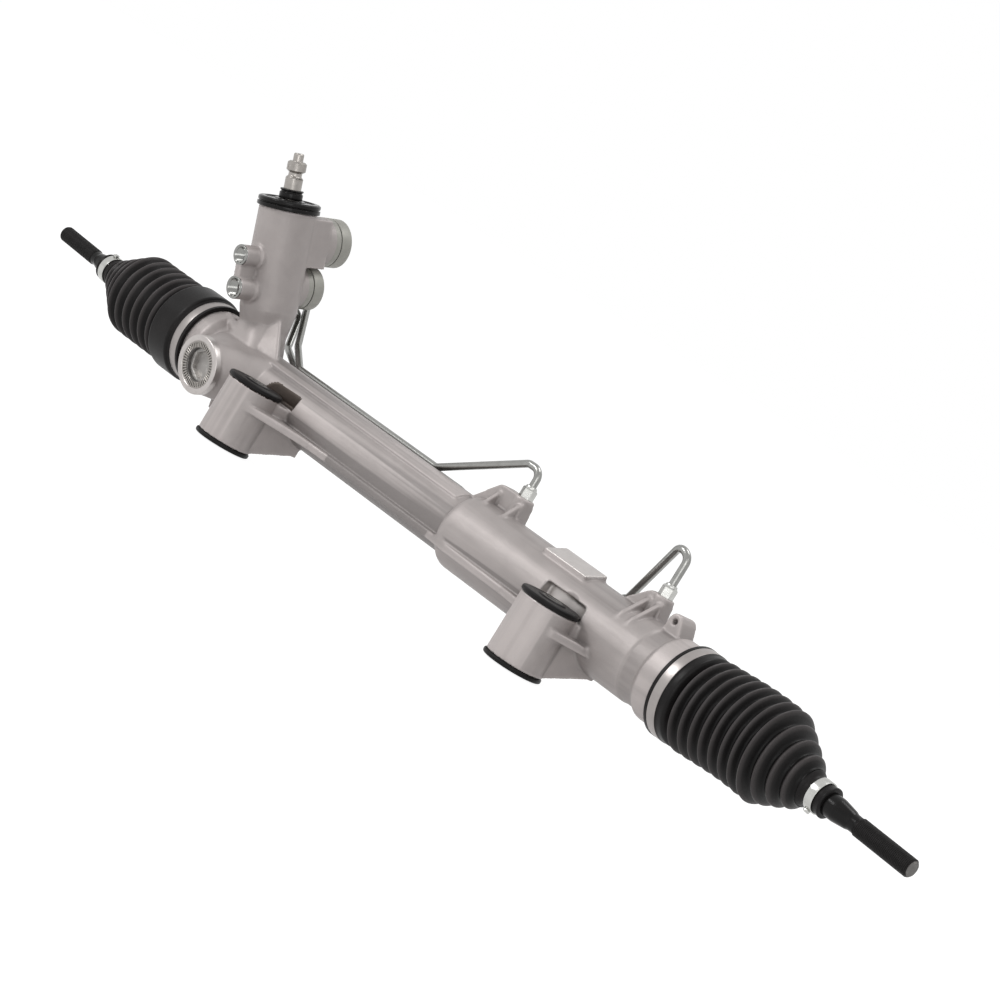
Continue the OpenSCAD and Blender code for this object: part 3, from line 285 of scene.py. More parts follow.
def cast_finish(name, base):
    """As-cast aluminium: pebble, slow tone changes, pits, painted shade in the hollows and painted highlights
    on the edges.
    """
    f = Finish(name)
    cloud, flow = f.noise(28, 4), f.noise(90, 3, stretch=(0.35, 1, 1))
    pebble, pits = f.noise(900, 4, 0.6), f.noise(1700, 2)
    relief = f.node("Attribute", {"attribute_name": "relief"}, out="Fac")
    tone = f.mix((cloud * 0.6 + flow * 0.4).above(0.3, 0.7), darker(base, 0.9), darker(base, 1.07))
    # painted shade: the hollows of the relief are darkened
    tone = f.mix((relief * -1).above(0.12, 0.9) * 0.62, tone, darker(base, 0.38))
    # painted highlight: the edges of the relief are lightened
    tone = f.mix(relief.above(0.15, 0.9) * 0.6, tone, darker(base, 1.5))
    tone = f.mix(pits.above(0.66, 0.74) * 0.35, tone, darker(base, 0.45))
    normal = f.bump(pebble, 0.00012, f.bump(cloud, 0.0010))
    return f.done(
        Base_Color=tone, Metallic=0.25, Roughness=cloud * 0.14 + pebble * 0.1 + 0.34,
        Specular_IOR_Level=0.3, Normal=normal,
    )


def turned_finish(name, base, metallic=1.0, roughness=0.3, lines=1500, axis=(1, 0.02, 0.02), dirt=0.2):
    """Machined or ground metal with fine tool lines across one axis and a little staining."""
    f = Finish(name)
    cut = f.noise(lines, 2, 0.7, stretch=axis)
    stain, speck = f.noise(120, 4), f.noise(1500, 2)
    tone = f.mix(stain.above(0.45, 0.75) * dirt, base, darker(base, 0.55))
    tone = f.mix(speck.above(0.68, 0.75) * 0.3, tone, darker(base, 0.4))
    return f.done(
        Base_Color=tone, Metallic=metallic, Roughness=cut * 0.16 + stain * 0.1 + (roughness - 0.1),
        Normal=f.bump(cut, 0.00003),
    )


def plated_finish(name, base):
    """Bright zinc plate: cloudy roughness, faint stains and fine orange peel."""
    f = Finish(name)
    cloud, peel = f.noise(160, 4), f.noise(1100, 3)
    tone = f.mix(cloud.above(0.4, 0.72) * 0.5, base, darker(base, 0.66))
    return f.done(Base_Color=tone, Metallic=1.0, Roughness=cloud * 0.22 + 0.12, Normal=f.bump(peel, 0.00004))


def rubber_finish(name, base, gloss=0.5, dust=0.5):
    """Moulded black rubber: fine grain, a dusty bloom, painted highlights on the fold tops, painted shade in
    the fold valleys and an uneven sheen.
    """
    f = Finish(name)
    relief = f.node("Attribute", {"attribute_name": "relief"}, out="Fac")
    cloud, grain, fine = f.noise(45, 4), f.noise(800, 4, 0.65), f.noise(2400, 2)
    bloom = (cloud * 0.7 + grain * 0.5).above(0.5, 0.85)
    tone = f.mix(bloom * dust, base, darker(base, 3.2))
    # painted shade: the fold valleys are darkened
    tone = f.mix((relief * -1).above(-0.2, 0.7) * 0.85, tone, darker(base, 0.1))
    # painted highlight: the fold tops are lightened
    tone = f.mix(relief.above(0.25, 1.0) * (grain * 0.5 + 0.6), tone, darker(base, 8))
    return f.done(
        Base_Color=tone, Metallic=0.0, Roughness=cloud * 0.18 + grain * 0.12 + (gloss - 0.12),
        Specular_IOR_Level=0.14, Normal=f.bump(grain + fine * 0.5, 0.00009),
    )


def black_finish(name, base, roughness=0.3, coat=0.0, metallic=0.4):
    """Blackened or painted steel: soft unevenness, rubbed grey where it has been handled."""
    f = Finish(name)
    cloud, grain = f.noise(130, 4), f.noise(1300, 3)
    tone = f.mix((cloud * 0.6 + grain * 0.6).above(0.62, 0.9) * 0.5, base, darker(base, 4))
    return f.done(
        Base_Color=tone, Metallic=metallic, Roughness=cloud * 0.14 + grain * 0.08 + (roughness - 0.1),
        Specular_IOR_Level=0.15, Coat_Weight=coat, Coat_Roughness=0.1, Normal=f.bump(grain, 0.00004),
    )


def plain_finish(name, base, metallic, roughness):
    """Finish of the pieces inside: a fine grain and soft tone changes."""
    f = Finish(name)
    cloud, grain = f.noise(150, 3), f.noise(1200, 3)
    tone = f.mix(cloud.above(0.35, 0.7), darker(base, 0.85), darker(base, 1.05))
    return f.done(
        Base_Color=tone, Metallic=metallic, Roughness=grain * 0.15 + roughness - 0.07,
        Normal=f.bump(grain, 0.00004),
    )


MADE = {}  # materials by the name of their look


def finish(name):
    """The material of that name, made once from the user's colours."""
    if name not in MADE:
        c = bpy.context.scene.rack_colours
        makers = {
            "cast": lambda: cast_finish("cast aluminium", c.cast),
            "machined": lambda: turned_finish("machined aluminium", c.machined, 0.75, 0.34, 1200),
            "steel": lambda: turned_finish("ground steel", c.steel, 1.0, 0.26, 1400),
            "zinc": lambda: plated_finish("zinc plate", c.zinc),
            "pipe": lambda: plated_finish("plated pipe", darker(c.zinc, 0.6)),
            "clamp": lambda: turned_finish("clamp band", c.clamp, 0.8, 0.32, 500, (0.02, 1, 1)),
            "port": lambda: turned_finish("port thread", c.port, 1.0, 0.14, 900, (1, 0.2, 0.2)),
            "plug": lambda: turned_finish("valve plug", c.plug, 0.4, 0.5, 900),
            # painted shade and painted reflection of the black bush, for the left pocket's wall
            "shade": lambda: turned_finish("oiled pocket", c.shade, 0.6, 0.3, 700, (1, 1, 0.04), 0.6),
            "black": lambda: black_finish("black phosphate", c.black_steel, 0.42, 0.0, 0.0),
            "gloss": lambda: black_finish("black enamel", darker(c.black_steel, 0.5), 0.2, 0.05, 0.0),
            "iron": lambda: black_finish("grey phosphate", c.iron, 0.42, 0.0, 0.7),
            "socket": lambda: black_finish("hex socket", darker(c.iron, 3.2), 0.5, 0.0, 0.4),
            "rubber": lambda: rubber_finish("boot rubber", c.rubber, 0.36),
            "soft": lambda: rubber_finish("bush rubber", darker(c.rubber, 0.8), 0.42, 0.35),
            "bronze": lambda: plain_finish("sintered bronze", c.bronze, 0.9, 0.45),
            "polymer": lambda: plain_finish("moulded polymer", c.polymer, 0.0, 0.5),
            "inner_steel": lambda: plain_finish("inner steel", c.steel, 1.0, 0.35),
        }
        MADE[name] = makers[name]()
    return MADE[name]


# Mesh making


def millimetres(group):
    """The lengths of a property group in millimetres; counts stay as they are."""
    return {
        k: getattr(group, k) * (1 if isinstance(getattr(group, k), int) else 1000)
        for k in group.__annotations__
    }


def sizes():
    return millimetres(bpy.context.scene.rack_sizes)


MERGE = 0.002  # points closer than this, in millimetres, become one


def turned(profile, steps=72, closed=False, lead=0.0, capped=True):
    """A bmesh of (along X, radius) points spun about X; with a lead the spin is a screw."""
    bm = bmesh.new()
    verts = [bm.verts.new((x, 0, r)) for x, r in profile]
    pairs = list(zip(verts, verts[1:])) + ([(verts[-1], verts[0])] if closed else [])
    edges = [bm.edges.new(pair) for pair in pairs]
    bmesh.ops.spin(
        bm, geom=verts + edges, cent=(0, 0, 0), axis=(1, 0, 0), angle=math.tau,
        steps=steps, use_merge=lead == 0, dvec=(lead / steps, 0, 0),
    )
    bmesh.ops.remove_doubles(bm, verts=bm.verts[:], dist=MERGE)
    if lead and capped:
        bmesh.ops.holes_fill(bm, edges=bm.edges[:], sides=0)
        bmesh.ops.triangulate(bm, faces=[f for f in bm.faces if len(f.verts) > 4])
    bmesh.ops.recalc_face_normals(bm, faces=bm.faces[:])
    return bm


def rounded(corners, radius, steps=3):
    """A profile whose corners are each cut by a small arc, the first and last kept."""
    points = [corners[0]]
    for before, at, after in zip(corners, corners[1:], corners[2:]):
        p, a, b = Vector(at), Vector(before) - Vector(at), Vector(after) - Vector(at)
        r = min(radius, a.length * 0.45, b.length * 0.45)
        start, end = p + a.normalized() * r, p + b.normalized() * r
        for i in range(steps + 1):
            t = i / steps
            points.append(tuple(start * (1 - t) ** 2 + p * 2 * t * (1 - t) + end * t ** 2))
    return points + [corners[-1]]


def ring(corners, radius=0.5):
    """A closed profile with rounded corners, for spinning into a ring."""
    looped = [corners[-1], *corners, corners[0]]
    return rounded(looped, radius)[1:-1]


def threaded(start, turns, pitch, root, tops):
    """A thread's profile: the root once a pitch, and tops as (share of the pitch, radius)."""
    points = []
    for k in range(turns):
        x = start + k * pitch
        points += [(x, root), *((x + pitch * share, radius) for share, radius in tops)]
    return points + [(start + turns * pitch, root)]


def joined(*parts):
    """One bmesh of several, which are freed."""
    whole = bmesh.new()
    for part in parts:
        mesh = bpy.data.meshes.new("part")
        part.to_mesh(mesh)
        part.free()
        whole.from_mesh(mesh)
        bpy.data.meshes.remove(mesh)
    return whole


def placed(bm, matrix):
    bmesh.ops.transform(bm, matrix=matrix, verts=bm.verts[:])
    return bm


def flattened(bm, low, high, axis, half):
    """Cuts two wrench flats, so that nothing between low and high along X stands out past half."""
    for v in bm.verts:
        if low < v.co.x < high and abs(v.co[axis]) > half:
            v.co[axis] = math.copysign(half, v.co[axis])
    return bm


def settle(bm, name, place, look, body=None, stands_for=(), sharp=35, more=()):
    """Turns a bmesh in millimetres into a finished piece that rides on a body."""
    placed(bm, place)
    mesh = bpy.data.meshes.new(name)
    bm.to_mesh(mesh)
    bm.free()
    for key in (look, *more):
        mesh.materials.append(finish(key))
    mesh.shade_smooth()
    mesh.set_sharp_from_angle(angle=math.radians(sharp))
    piece = bpy.data.objects.new(name, mesh)
    bpy.context.scene.collection.objects.link(piece)
    if stands_for:
        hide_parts(*stands_for)
    if body:
        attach(piece, body)
    return piece


def evaluated(piece):
    """The piece's mesh with its modifiers worked in."""
    made = bpy.data.meshes.new_from_object(piece.evaluated_get(bpy.context.evaluated_depsgraph_get()))
    piece.modifiers.clear()
    old, piece.data = piece.data, made
    bpy.data.meshes.remove(old)
    return piece


def extruded(made):
    """The new vertices of an extrusion."""
    return [g for g in made["geom"] if isinstance(g, bmesh.types.BMVert)]


def prism(sides, radius, height, tip=1.0):
    """An upright prism on the XY plane whose last tenth narrows to tip."""
    bm = bmesh.new()
    bmesh.ops.create_circle(bm, cap_ends=True, radius=radius, segments=sides)
    for rise, scale in ((height * 0.88, 1.0), (height * 0.12, tip)):
        highest = max(v.co.z for v in bm.verts) - 1e-6
        made = bmesh.ops.extrude_face_region(
            bm, geom=[f for f in bm.faces if all(v.co.z > highest for v in f.verts)],
        )
        top = extruded(made)
        bmesh.ops.translate(bm, verts=top, vec=(0, 0, rise))
        bmesh.ops.scale(bm, verts=top, vec=(scale, scale, 1))
    bmesh.ops.recalc_face_normals(bm, faces=bm.faces[:])
    return bm


# Boots: distances along the axis are from the lip, and "cuts" are where the blended lengths meet.

BOOTS = {
    "left": {
        "first": 53.5, "pitch": 13.0, "folds": 6, "collar": 44.0, "collar_from": 18.0, "length": 186.0,
        "cuts": (15.0, 131.0, 147.5), "clamp_back": 13,
    },
    "right": {
        "first": 28.5, "pitch": 11.0, "folds": 8, "collar": 40.5, "collar_from": 15.0, "length": 168.0,
        "cuts": (14.0, 112.0, 129.0), "clamp_back": 15,
    },
}
TAIL_L = 22.0
CUFF_R, CUFF_END = 41.1, 12.5
BULGE_FROM, BULGE_SPAN = 13, 133


def boot_radius(u, boot, s):
    """Outer radius of a boot at a distance from its lip: cuff, collar, folds and cone."""
    last = boot["first"] + boot["pitch"] * (boot["folds"] - 1)
    starts = boot["first"] - boot["pitch"] / 2
    if u <= boot["collar_from"]:
        share = max(0.0, (u - CUFF_END) / (boot["collar_from"] - CUFF_END))
        return CUFF_R + (boot["collar"] - CUFF_R) * share * share * (3 - 2 * share)
    crown = min(s["fold_radius"], s["fold_radius"] - 0.55 * (u - last))
    depth = s["fold_depth"] * min(1.0, crown / s["fold_radius"] + 0.1)
    wave = (1 - math.cos(math.tau * (u - boot["first"]) / boot["pitch"])) / 2
    if u >= starts:
        return crown - depth * wave ** 0.85
    share = min(1.0, max(0.0, (u - starts + 4) / 4))
    return boot["collar"] * (1 - share * share) + (s["fold_radius"] - s["fold_depth"]) * share * share


def fold_relief(bm, boot):
    """Writes on every point how far up its fold it lies, from -1 in the valleys to 1 on the tops."""
    mark = bm.verts.layers.float.new("relief")
    for v in bm.verts:
        # the boot rubber paints shade in the valleys and highlights on the tops from this value
        v[mark] = math.cos(math.tau * (v.co.x - boot["first"]) / boot["pitch"])
        if v.co.x < boot["first"] - boot["pitch"] / 2:
            v[mark] = 0.0
    return bm


def bend_boot(bm, side, s):
    """Lets a boot follow the rod's droop past the ball, and bulge where it is slack."""
    ball = BALL_FROM_LIP[side]
    for v in bm.verts:
        past = max(0.0, v.co.x - ball)
        v.co.z -= past * math.tan(math.radians(ROD_DROOP))
        if side == "right":
            share = min(1.0, max(0.0, (v.co.x - BULGE_FROM) / BULGE_SPAN))
            v.co.z += s["boot_bulge"] * math.sin(math.pi * share) ** 2
    return bm


class RACK_OT_boots(bpy.types.Operator):
    """Rubber boots in five lengths each: cuff, folds, shoulder, cone and tail, of which only the cuff and the
    tail ride on bodies
    """

    bl_idname = "rack.boots"
    bl_label = "Rubber boots"

    def execute(self, context):
        s = sizes()
        wall = s["boot_wall"]
        for side, boot in BOOTS.items():
            tail = boot["length"] - TAIL_L
            start, middle, outer = boot["cuts"]
            lip = LIPS[side]
            cuff = [
                (0.0, 37.6), (0.0, 40.9), (0.5, 41.3), (3.1, 41.3), (3.5, 40.9), (3.5, 39.9), (CUFF_END, 39.9),
                (CUFF_END, 40.7), (12.9, CUFF_R),
            ]
            cuff += [(u, boot_radius(u, boot, s)) for u in (13.5, start)] + [(start, 37.9), (13.0, 37.6)]
            settle(turned(cuff, 96, True), side + "_boot_cuff", lip, "rubber", "housing", [side + "_boot"])
            joint, rod = side + "_joint", side + "_rod"
            spans = (
                (start, middle, "folds", "housing", "rack"), (middle, outer, "shoulder", "rack", joint),
                (outer, tail, "cone", joint, rod),
            )
            for low, high, part, one, other in spans:
                count = max(6, round((high - low) / boot["pitch"] * 14))
                us = [low + (high - low) * i / count for i in range(count + 1)]
                skin = [(u, boot_radius(u, boot, s)) for u in us]
                profile = skin + [(u, r - wall) for u, r in reversed(skin)]
                bm = bend_boot(fold_relief(turned(profile, 96, True), boot), side, s)
                piece = settle(bm, f"{side}_boot_{part}", lip, "rubber", None, [side + "_boot"], sharp=60)
                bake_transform(piece)
            edge = boot_radius(tail, boot, s)
            end = [
                (-0.4, 10.2), (-0.4, edge - 2.0), (0.0, edge - 0.3), (1.2, edge - 0.9), (2.6, 14.1),
                (4.2, 13.1), (6.0, 13.0), (19.5, 13.0), (20.2, 13.5), (21.4, 13.5), (22.0, 12.9),
                (22.0, 10.1),
            ]
            bm = placed(turned(end, 64, True), shift(tail - BALL_FROM_LIP[side]))
            settle(bm, side + "_boot_tail", RODS[side], "rubber", rod, [side + "_boot"], sharp=50)
        return {"FINISHED"}


class RACK_OT_clamps(bpy.types.Operator):
    """Large clamp bands on the cuffs and small ear clamps on the tails"""

    bl_idname = "rack.clamps"
    bl_label = "Boot clamps"

    def execute(self, context):
        s = sizes()
        low, high = 3.5, 3.5 + s["band_width"]
        for side in SIDES:
            band = ring([(low, 39.9), (low, 41.1), (high, 41.1), (high, 39.9)], 0.3)
            settle(
                turned(band, 120, True), side + "_large_clamp", LIPS[side], "clamp", "housing",
                ["large_clamps"],
            )
            tail = BOOTS[side]["length"] - BOOTS[side]["clamp_back"] - BALL_FROM_LIP[side]
            strap = ring([(tail, 13.05), (tail, 14.25), (tail + 8, 14.25), (tail + 8, 13.05)], 0.3)
            ear = bmesh.new()
            bmesh.ops.create_cube(
                ear, size=1, matrix=shift(tail + 4, 0, 15.4) @ Matrix.Diagonal((5, 4.4, 2.8, 1)),
            )
            bmesh.ops.bevel(
                ear, geom=ear.edges[:], offset=0.7, segments=2, profile=0.5, affect="EDGES", material=-1,
            )
            bm = placed(joined(turned(strap, 72, True), ear), turn(160, "X"))
            settle(bm, side + "_small_band", RODS[side], "zinc", side + "_rod", [side + "_small_clamp"])
        return {"FINISHED"}


class RACK_OT_rods(bpy.types.Operator):
    """Tie rods with a glossy shank, wrench flats and a rolled outer thread"""

    bl_idname = "rack.rods"
    bl_label = "Tie rods"

    def execute(self, context):
        s = sizes()
        pitch, tip, start = s["rod_pitch"], 152.0, 94.0
        root, crest = 7.25, 7.98
        turns = int((tip - start) / pitch)
        for side in SIDES:
            shank = [
                (6, 0), (6, 8), (17, 8), (23, 10), (73, 10), (86, 8.1), (88.5, 7.2), (93, 7.1),
                (start + 0.8, 7.1), (start + 0.8, 0),
            ]
            bm = flattened(turned(rounded(shank, 1.5), 64), 76, 88, 1, 7.0)
            settle(bm, side + "_rod_shank", RODS[side], "gloss", side + "_rod", [side + "_tie_rod"])
            thread = threaded(start, turns, pitch, root, ((0.42, crest), (0.58, crest)))
            bm = turned(thread, 40, lead=pitch)
            for v in bm.verts:
                radius = Vector((v.co.y, v.co.z)).length
                most = min(crest, tip - v.co.x + 6.3, v.co.x - start + 6.4)
                if radius > most:
                    v.co.y, v.co.z = v.co.y * most / radius, v.co.z * most / radius
                v.co.x = min(v.co.x, tip - 0.05)
            settle(
                bm, side + "_rod_thread", RODS[side], "black", side + "_rod", [side + "_tie_rod"], sharp=60,
            )
            end = turned([(tip - 1.2, 0), (tip - 1.2, 6.9), (tip - 0.6, 6.9), (tip, 6.3), (tip, 0)], 40)
            settle(end, side + "_rod_end", RODS[side], "iron", side + "_rod", [side + "_tie_rod"])
        return {"FINISHED"}


def relief(mesh, rounds=6):
    """Writes how far each point stands out of its surroundings, from -1 in a hollow to 1 on an edge."""
    count = len(mesh.vertices)
    places, normals = np.empty(count * 3), np.empty(count * 3)
    ends = np.empty(len(mesh.edges) * 2, dtype=int)
    mesh.vertices.foreach_get("co", places)
    mesh.vertices.foreach_get("normal", normals)
    mesh.edges.foreach_get("vertices", ends)
    places, normals, ends = places.reshape(-1, 3), normals.reshape(-1, 3), ends.reshape(-1, 2)
    uses = np.bincount(ends.ravel(), minlength=count).clip(1)

    def beside(values):
        one = np.bincount(ends[:, 0], values[ends[:, 1]], count)
        return (one + np.bincount(ends[:, 1], values[ends[:, 0]], count)) / uses

    height = sum((places[:, i] - beside(places[:, i])) * normals[:, i] for i in range(3))
    for _ in range(rounds):
        height = (height + beside(height)) / 2
    height /= np.percentile(np.abs(height), 97)
    # the cast finish paints shade in the hollows and highlights on the edges from this value
    mesh.attributes.new("relief", "FLOAT", "POINT").data.foreach_set("value", height.clip(-1, 1))


# Most triangles of the softened case, and the short lug between the left boot and the foot of the tower,
# which the CAD case lacks
MOST_TRIANGLES = 190000
LUG_FROM, LUG_TO, LUG_R = (6.5, -10.5, 33.0), (30.0, -17.0, 27.5), 4.6


def round_bar(start, end, radius):
    """A bar with round ends between two points."""
    along = Vector(end) - Vector(start)
    arc = [(radius * math.cos(math.radians(a)), radius * math.sin(math.radians(a))) for a in range(0, 91, 15)]
    profile = [(-x, r) for x, r in arc] + [(along.length + x, r) for x, r in reversed(arc)]
    return placed(
        turned(profile, 24), Matrix.Translation(start) @ along.to_track_quat("X", "Z").to_matrix().to_4x4(),
    )


PLAIN, MACHINED, POCKET = range(3)
POCKET_R, POCKET_REACH, POCKET_FLOOR, POCKET_TOP, POCKET_BACK = 28.4, 30.6, -0.9, 13.4, -23.8
BORE_R, EYE_FACE_R, EYE_FOOT = 21.5, 27.0, -54.2
PAD_X, PAD_Y, PAD_FLOOR = (478, 532), (-14, 15), 36


def cut_at(place, normal):
    """Which of the casting's finishes a spot has: pockets, eye faces, pad and spigot ends are cut, and the left
    pocket's wall carries painted shade.
    """
    x, y, z = place
    # the left pocket's wall gets the painted shade finish, the right one the machined finish
    for side, way, pocket in (("left", 1, POCKET), ("right", -1, MACHINED)):
        beside = x - EYE_X[side]
        reach = math.hypot(beside, y - EYE_Y)
        slot = -0.6 < beside * way < POCKET_REACH and EYE_Y < y < POCKET_BACK
        if POCKET_FLOOR < z < POCKET_TOP and (reach < POCKET_R or slot):
            return pocket if reach > BORE_R else PLAIN
        if reach < EYE_FACE_R and z < EYE_FOOT:
            return MACHINED
    lid = turn(-LEAN, "X") @ place
    if PAD_X[0] < x < PAD_X[1] and PAD_Y[0] < lid.y < PAD_Y[1] and lid.z > PAD_FLOOR:
        return MACHINED if normal.z > 0.8 else PLAIN
    return MACHINED if x > CASE_END + 1 or x < -1 else PLAIN


class RACK_OT_casting(bpy.types.Operator):
    """The case as one soft casting, with the sharp CAD edges blended as foundry fillets"""

    bl_idname = "rack.casting"
    bl_label = "Casting"

    def execute(self, context):
        s = context.scene.rack_sizes
        bm = bmesh.new()
        bm.from_mesh(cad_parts["rack_housing"].data)
        bmesh.ops.remove_doubles(bm, verts=bm.verts[:], dist=1e-6)
        bm = joined(bm, placed(round_bar(LUG_FROM, LUG_TO, LUG_R), RACK))
        piece = settle(bm, "case", Matrix.Identity(4), "cast", None, ["rack_housing"], sharp=180)
        grid = piece.modifiers.new("Grid", "REMESH")
        grid.mode, grid.use_smooth_shade = "VOXEL", True
        grid.voxel_size = s.cast_voxel * 1
        soft = piece.modifiers.new("Soften", "SMOOTH")
        soft.factor, soft.iterations = 0.5, s.cast_rounds
        evaluated(piece)
        triangles = len(piece.data.polygons) * 2
        if triangles > MOST_TRIANGLES:
            thin = piece.modifiers.new("Thin", "DECIMATE")
            thin.ratio = MOST_TRIANGLES / triangles
            evaluated(piece)
        piece.data.shade_smooth()
        relief(piece.data)
        for look in ("machined", "shade"):
            piece.data.materials.append(finish(look))
        to_rack = RACK.inverted()
        for face in piece.data.polygons:
            face.material_index = cut_at(to_rack @ face.center, to_rack.to_3x3() @ face.normal)
        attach(piece, "housing")
        return {"FINISHED"}


class RACK_OT_tower(bpy.types.Operator):
    """Top of the valve tower: cap, dust collar, splined shaft, plugs with O-rings, threaded hose ports"""

    bl_idname = "rack.tower"
    bl_label = "Valve tower"

    def execute(self, context):
        s = sizes()
        up = TOWER @ UP
        cap = [
            (147, 8.6), (147, 18), (152, 18), (152, 29.2), (152.4, 29.6), (155.4, 29.6), (155.8, 28.2),
            (156.5, 28.2), (156.9, 29.3), (159.7, 29.3), (160.9, 27.6), (161, 23.6), (160.0, 23.2),
            (160.0, 14.4), (161, 14), (161, 8.6),
        ]
        settle(turned(ring(cap, 0.35), 96, True), "valve_cap", up, "gloss", "housing", ["tower_cap"])
        collar = [
            (161.3, 8.25), (161.3, 11), (167.1, 11), (167.4, 10), (168.7, 10), (169.0, 11), (170.1, 11),
            (170.6, 10.2), (170.6, 8.25),
        ]
        settle(turned(ring(collar, 0.4), 64, True), "shaft_collar", up, "gloss", "input", ["dust_collar"])
        shaft = [
            (126, 8.15), (181, 8.2), (183, 6.3), (186, 6.3), (188, 8.9), (195, 8.9), (196.2, 7.6),
            (196.4, 4.8), (203, 4.8), (204, 4.0),
        ]
        bm = flattened(turned(rounded([(126, 0), *shaft, (204, 0)], 0.4), 60), 179.8, 187.2, 2, 6.8)
        settle(bm, "shaft_head", up, "steel", "input")
        fins = bmesh.new()
        bmesh.ops.create_circle(fins, cap_ends=True, radius=1, segments=2 * s["splines"])
        for i, v in enumerate(fins.verts):
            v.co *= 9.0 if i % 2 else 8.3
        made = bmesh.ops.extrude_face_region(fins, geom=fins.faces[:])
        bmesh.ops.translate(fins, verts=extruded(made), vec=(0, 0, 6.4))
        bmesh.ops.recalc_face_normals(fins, faces=fins.faces[:])
        settle(placed(fins, shift(0, 0, 188.3)), "shaft_splines", TOWER, "steel", "input")
        for name, radius, height, seat in (("upper", 23.0, 126.0, 53.0), ("lower", 20.5, 81.5, 32.5)):
            at = TOWER @ shift(0, 0, height) @ BACK
            out = seat + 14.5
            plug = [
                (seat - 9, 0), (seat - 9, radius - 4.05), (seat + 1, radius - 4.05), (seat + 1, radius - 0.3),
                (seat + 1.3, radius), (out - 2, radius), (out, radius - 2.2), (out, radius - 6),
                (out - 0.6, radius - 7), (out - 0.6, 7.5), (out - 5, 7), (out - 5, 0),
            ]
            settle(
                turned(rounded(plug, 0.3), 96), name + "_plug", at, "plug", "housing", [name + "_valve_plug"],
            )
            seal = ring(
                [(seat, radius - 4), (seat, radius - 1.2), (seat + 1, radius - 1.2), (seat + 1, radius - 4)],
                0.3,
            )
            settle(turned(seal, 72, True), name + "_plug_seal", at, "soft", "housing", ["plug_o_rings"])
            rim = ring(
                [
                    (seat - 6, radius - 3.98), (seat - 6, radius + 0.05), (seat - 0.4, radius + 0.05),
                    (seat - 0.02, radius - 0.4), (seat - 0.02, radius - 3.98),
                ],
                0.2,
            )
            settle(turned(rim, 96, True), name + "_plug_seat", at, "plug", "housing")
        for name, radius, height in (("upper", 7.0, 104.8), ("lower", 8.0, 74.5)):
            at = TOWER @ shift(0, 0, height) @ FRONT
            pitch = s["port_pitch"]
            face = [
                (34.2, radius + 0.4), (34.2, radius - 0.15), (45.1, radius - 0.15), (46.02, radius + 0.7),
                (46.02, radius + 2.4), (45.2, radius + 2.75), (44.6, radius + 2.75),
            ]
            thread = threaded(34.3, int(10.6 / pitch), pitch, radius - 0.2, ((0.5, radius - 0.95),))
            bm = turned(thread, 48, lead=pitch, capped=False)
            bmesh.ops.reverse_faces(bm, faces=bm.faces[:])
            whole = joined(bm, turned(ring(face + [(44.6, radius + 0.4)], 0.15), 64, True))
            settle(whole, name + "_port_thread", at, "port", "housing", sharp=30)
            seat = [
                (32, 2.5), (32, radius - 1.5), (33.7, radius - 1.5), (33.7, 4.6), (35.2, 3.1), (35.2, 2.5),
            ]
            settle(
                turned(ring(seat, 0.2), 48, True), name + "_port_seat", at, "zinc", "housing", ["port_seats"],
            )
        return {"FINISHED"}


class RACK_OT_adjuster(bpy.types.Operator):
    """Yoke adjuster plug with its notched face and hex socket, in a machined ring"""

    bl_idname = "rack.adjuster"
    bl_label = "Yoke adjuster"

    def execute(self, context):
        s = sizes()
        at = GEAR @ FRONT
        rim = ring(
            [(46, 21.62), (53.0, 21.62), (53.62, 22.3), (53.62, 26.9), (52.9, 27.55), (46, 27.55)], 0.25,
        )
        settle(turned(rim, 120, True), "adjuster_boss", at, "machined", "housing")
        body = [(41.8, 0), (41.8, 21.55), (52.0, 21.55), (52.0, 15.9), (51.3, 15.2), (42.9, 15.2), (42.9, 0)]
        cup = [(42.7, 0), (42.7, 18), (47.9, 18), (47.9, 14.5), (47.3, 13.86), (43.1, 13.86), (43.1, 0)]
        settle(
            turned(rounded(body, 0.3), 96), "adjuster_plug", at, "iron", "housing", ["yoke_adjuster"],
            sharp=25,
        )
        settle(turned(cup, 6), "adjuster_socket", at, "socket", "housing", ["yoke_adjuster"], sharp=25)
        teeth = bmesh.new()
        for k in range(s["notches"]):
            spin = turn(360 * k / s["notches"], "X")
            bmesh.ops.create_cube(
                teeth, size=1, matrix=spin @ shift(52.3, 0, 18.3) @ Matrix.Diagonal((1.4, 1.3, 5.0, 1)),
            )
        bmesh.ops.bevel(
            teeth, geom=teeth.edges[:], offset=0.18, segments=1, profile=0.5, affect="EDGES", material=-1,
        )
        edge = turned(ring([(51.8, 20.7), (51.8, 21.5), (53.0, 21.5), (53.0, 20.7)], 0.15), 96, True)
        settle(joined(teeth, edge), "adjuster_teeth", at, "steel", "housing", ["yoke_adjuster"], sharp=25)
        return {"FINISHED"}


